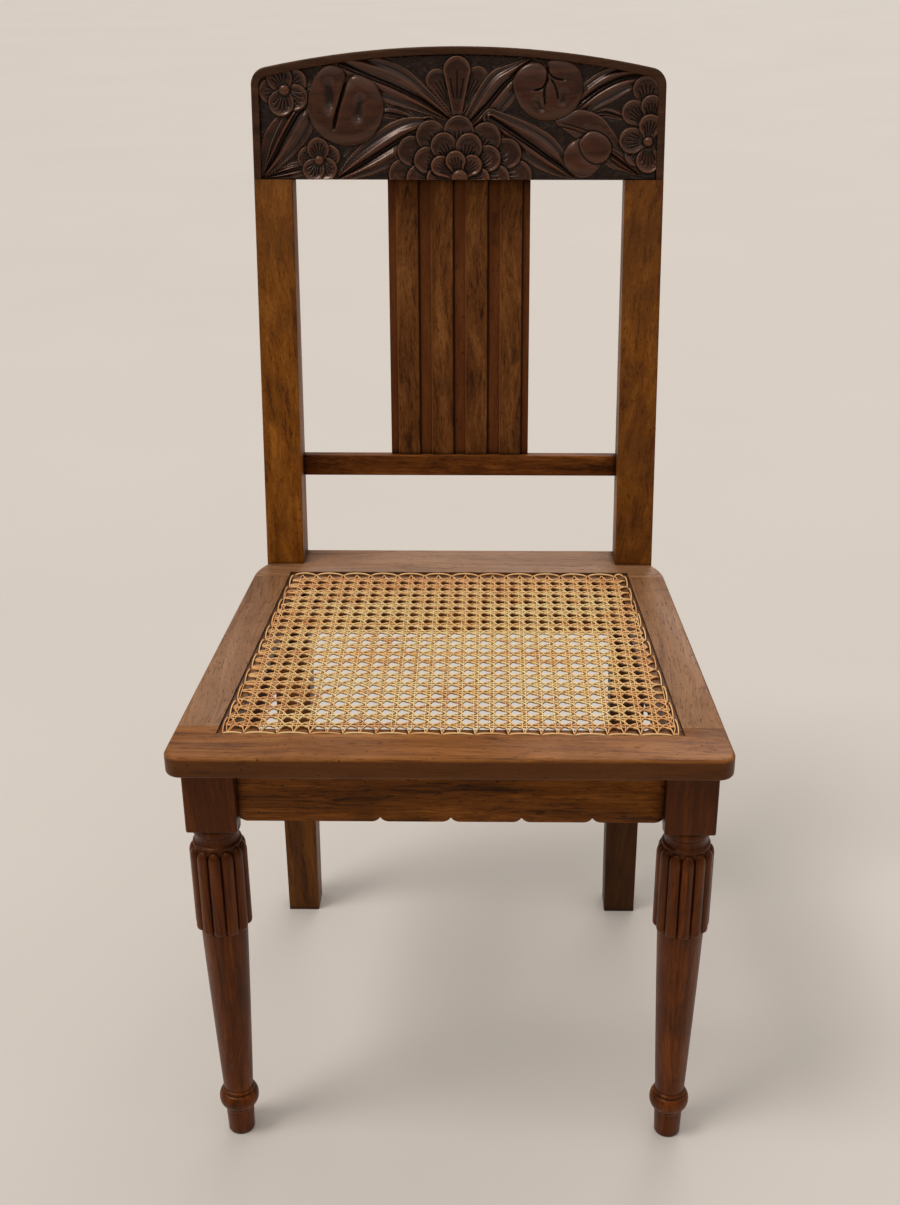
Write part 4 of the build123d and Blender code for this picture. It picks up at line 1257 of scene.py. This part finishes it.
def carve_right(relief):
    """Right half: a curled fruit, long leaves, a bud and a flower that runs under the border."""
    relief.leaf([(132, 62), (146, 64), (170, 57)], 4, 5, 2.2, rib=0.7)
    relief.leaf([(6, 48), (27, 69), (43, 87.6), (55.5, 98.6), (74, 116)], 18, 17, 3.7, base=0.35)
    relief.leaf([(111, 65), (138, 85), (162, 95.5), (196, 99.5)], 15, 16, 3.5, base=0.6)
    relief.leaf([(32, 58), (65, 37), (90, 20), (117, 1)], 19, 15, 3.6, base=0.5, peak=0.5)
    stalk = [(95, 57), (117, 66.4), (138.6, 61), (152, 46.7)]
    stalk += [(166, 24.7), (177, 9), (150, 12), (118, 38)]
    relief.form(stalk, 2.4, crown=0.8)
    relief.line([(97, 55), (114, 51), (132, 45)], 1.2, 0.6)
    relief.line([(95, 51.5), (112, 48), (129, 42)], 1.2, 0.6)
    relief.leaf([(142, 30), (158, 19), (182, 3)], 7, 7, 3.0, base=0.7, rib=1.1)
    turns = [math.radians(30 * k) for k in range(12)]
    bud = [(123.2 + 18.6 * math.cos(turn), 21.0 + 18.6 * math.sin(turn)) for turn in turns]
    relief.form(bud, 1.6, crown=3.2, spread=14.0)
    bract = [(120, 36), (130, 46), (144, 42), (151, 31), (146, 19), (134, 16), (124, 23)]
    relief.form(bract, 3.2, crown=1.6, spread=9.0)
    hub = (187.3, 36.5)
    for foot, angle, reach, radius, height in (
        ((187, 66), 98, 20.0, 13.0, 2.6),
        ((187, 52), 140, 18.5, 12.0, 2.9),
        ((190, 50), 90, 20.0, 10.5, 3.3),
        (hub, 226, 17.0, 11.0, 3.0),
        (hub, 272, 18.0, 12.0, 3.2),
        (hub, 176, 16.0, 12.5, 3.4),
        (hub, 84, 15.0, 11.0, 3.8),
    ):
        relief.petal(foot, math.radians(angle), reach, radius, height)
    relief.boss(hub, 4.5, 4.8)
    fruit = [(84.6, 107.4), (79.0, 110.6), (71.0, 110.6), (60.5, 105.0)]
    fruit += [(54.2, 94.0), (56.0, 80.0), (63.0, 67.0), (75.5, 58.6)]
    fruit += [(89.0, 56.3), (105.0, 61.0), (116.6, 70.5), (121.4, 86.0)]
    fruit += [(118.5, 103.0), (108.5, 113.6), (97.0, 116.2), (88.0, 113.0)]
    relief.form(fruit, 1.7, crown=3.2, spread=16.0, roll=1.6)
    relief.hollow([(74, 80), (80, 71), (83, 62)], 2.0, 4.0)
    relief.hollow([(104, 88), (103, 78), (100, 68)], 1.8, 4.2)
    relief.hollow([(88.5, 94), (89.5, 80), (90.5, 66)], -1.6, 3.4)
    relief.line([(85.5, 111), (87.3, 103.4), (86.0, 92.4), (80.1, 85.7), (69.0, 84.4)], 2.2, 0.9)
    relief.line([(84.1, 109), (88.8, 100.2), (95.4, 95.5), (107.0, 94.2)], 2.0, 0.9)
    relief.line([(88.6, 97.0), (84.2, 84.5), (85.8, 67.0)], 2.0, 0.8)
    relief.line([(89.4, 97.0), (95.4, 86.5), (98.6, 74.0)], 1.8, 0.8)


def sampled(values, x, t):
    """Values of the field at places between its grid points."""
    i = (x + FIELD_HALF) / FIELD_STEP
    j = t / FIELD_STEP
    i0 = np.clip(i.astype(int), 0, values.shape[1] - 2)
    j0 = np.clip(j.astype(int), 0, values.shape[0] - 2)
    fi, fj = i - i0, j - j0
    low = values[j0, i0] * (1 - fi) + values[j0, i0 + 1] * fi
    high = values[j0 + 1, i0] * (1 - fi) + values[j0 + 1, i0 + 1] * fi
    return low * (1 - fj) + high * fj


def on_crest(x, t, height):
    """Places on the raked front of the crest rail; height is above the floor of its recess."""
    up = CREST_LOW + t
    out = height - CARVING_DEPTH
    y = POST_FRONT_Y + up * math.sin(RAKE) - out * math.cos(RAKE)
    z = SEAT_TOP + up * math.cos(RAKE) + out * math.sin(RAKE)
    return np.stack([x, y, z], -1) * MM


def carved_field():
    """The carving as a closed mesh that fills the recess of the crest rail."""
    relief = Relief()
    carve_palmette(relief)
    carve_left(relief)
    carve_right(relief)
    carve_rosette(relief)
    height = np.clip(relief.height * CARVING_BOLDNESS, 0.1, CARVING_DEPTH + 0.3)
    # Low in hollows and on the ground, where the finish paints dirt and shade
    crown = 0.5 + (height - soften(height, 50)) * 0.3 + (height - 3.2) * 0.07

    across = int(2 * FIELD_HALF / FIELD_STEP) + 1
    up = int(CREST_MIDDLE / FIELD_STEP) - 12
    x = np.linspace(-FIELD_HALF + FIELD_GAP, FIELD_HALF - FIELD_GAP, across)
    share = np.linspace(0.0, 1.0, up)
    x, share = np.meshgrid(x, share)
    t = FIELD_GAP + share * (field_top(x) - 2 * FIELD_GAP)
    face = on_crest(x, t, sampled(height, x, t))
    back = on_crest(x[(0, -1), :], t[(0, -1), :], np.full((2, across), CARVING_BACK))
    sides = on_crest(x[1:-1, (0, -1)], t[1:-1, (0, -1)], np.full((up - 2, 2), CARVING_BACK))
    verts = np.vstack([face.reshape(-1, 3), back.reshape(-1, 3), sides.reshape(-1, 3)])

    index = np.arange(up * across).reshape(up, across)
    low, high = up * across + np.arange(across), up * across + across + np.arange(across)
    left = [low[0]] + [up * across + 2 * across + 2 * k for k in range(up - 2)] + [high[0]]
    right = [low[-1]] + [up * across + 2 * across + 2 * k + 1 for k in range(up - 2)] + [high[-1]]

    def strip(a, b):
        return np.stack([a[:-1], a[1:], b[1:], b[:-1]], -1)

    face_quads = [index[:-1, :-1], index[:-1, 1:], index[1:, 1:], index[1:, :-1]]
    quads = [
        np.stack(face_quads, -1).reshape(-1, 4),
        strip(low, index[0]),
        strip(index[-1], high),
        strip(index[:, 0], np.array(left)),
        strip(np.array(right), index[:, -1]),
        strip(high, low)[1:-1],
    ]
    faces = np.vstack(quads).tolist()
    faces.append([int(v) for v in left[::-1]] + [int(low[1])] + [int(high[1])])
    faces.append([int(v) for v in right] + [int(high[-2])] + [int(low[-2])])
    mesh = closed_mesh("crest_carving_fine", verts.tolist(), faces)
    padding = np.zeros(len(verts) - up * across)
    for name, values in (("crown", crown), ("cut", relief.cut), ("edge", relief.edge)):
        layer = mesh.attributes.new(name, "FLOAT", "POINT")
        spread = np.concatenate([sampled(values, x, t).ravel(), padding])
        layer.data.foreach_set("value", spread.astype(np.float32))
    return modified(mesh, "crest_carving", "DECIMATE", {"ratio": KEPT_SHARE})


show("crest_carving", carved_field(), crest_carved_wood, "polished_wood")

# ---- studio

SUNLIGHT = (1.0, 0.985, 0.96)
SKY_COLOUR = (1.0, 0.985, 0.965, 1.0)

floor_finish = Finish("pale floor")
floor_cloud = floor_finish.noise(floor_finish.place(), 1.5, 2.0)
floor_finish.colour = floor_finish.mix(floor_cloud, (200, 191, 182), (206, 197, 188))
floor_finish.surface(0.5, 0.0001, 0.75, Specular_IOR_Level=0.2)
floor_mesh = bpy.data.meshes.new("floor")
floor_corners = [(-30, -30, 0), (30, -30, 0), (30, 60, 0), (-30, 60, 0)]
floor_mesh.from_pydata(floor_corners, [], [(0, 1, 2, 3)])
floor_mesh.materials.append(floor_finish.material)
floor = put_in("floor", floor_mesh)

world = bpy.data.worlds.new("studio")
world.use_nodes = True
world.node_tree.nodes.clear()
sky = Graph(world.node_tree)
sky_height = sky.split(sky.add("ShaderNodeTexCoord", take="Generated"))[2]
sky_strength = 0.1 + sky_height.step(0.0, 1.0) * 0.8
sky_light = sky.add("ShaderNodeBackground", {"Color": SKY_COLOUR, "Strength": sky_strength})
seen = sky.add("ShaderNodeLightPath", take="Is Camera Ray")
backdrop = sky.add("ShaderNodeBackground", {"Color": linear(214, 204, 192), "Strength": 1.0})
both = sky.add("ShaderNodeMixShader", {0: seen, 1: sky_light, 2: backdrop})
sky.add("ShaderNodeOutputWorld", {"Surface": both})
bpy.context.scene.world = world


def sun(name, towards, energy, spread):
    """A wide soft light that comes from one direction."""
    data = bpy.data.lights.new(name, "SUN")
    data.energy = energy
    data.angle = math.radians(spread)
    data.color = SUNLIGHT
    put_in(name, data).rotation_euler = Vector(towards).to_track_quat("Z", "Y").to_euler()


sun("key light", (-0.42, -0.2, 0.88), 1.25, 20.0)
sun("back light", (0.15, 0.8, 0.58), 0.7, 36.0)

camera_data = bpy.data.cameras.new("camera")
camera_data.lens = 46.238
camera_data.shift_x = -0.0249
camera_data.clip_end = 200.0
camera = put_in("camera", camera_data)
camera.location = (0.0367, -1.35964, 1.1146)
camera.rotation_euler = (math.radians(64.614), 0.0, math.radians(0.564))
bpy.context.scene.camera = camera
bpy.context.scene.view_settings.view_transform = "Standard"
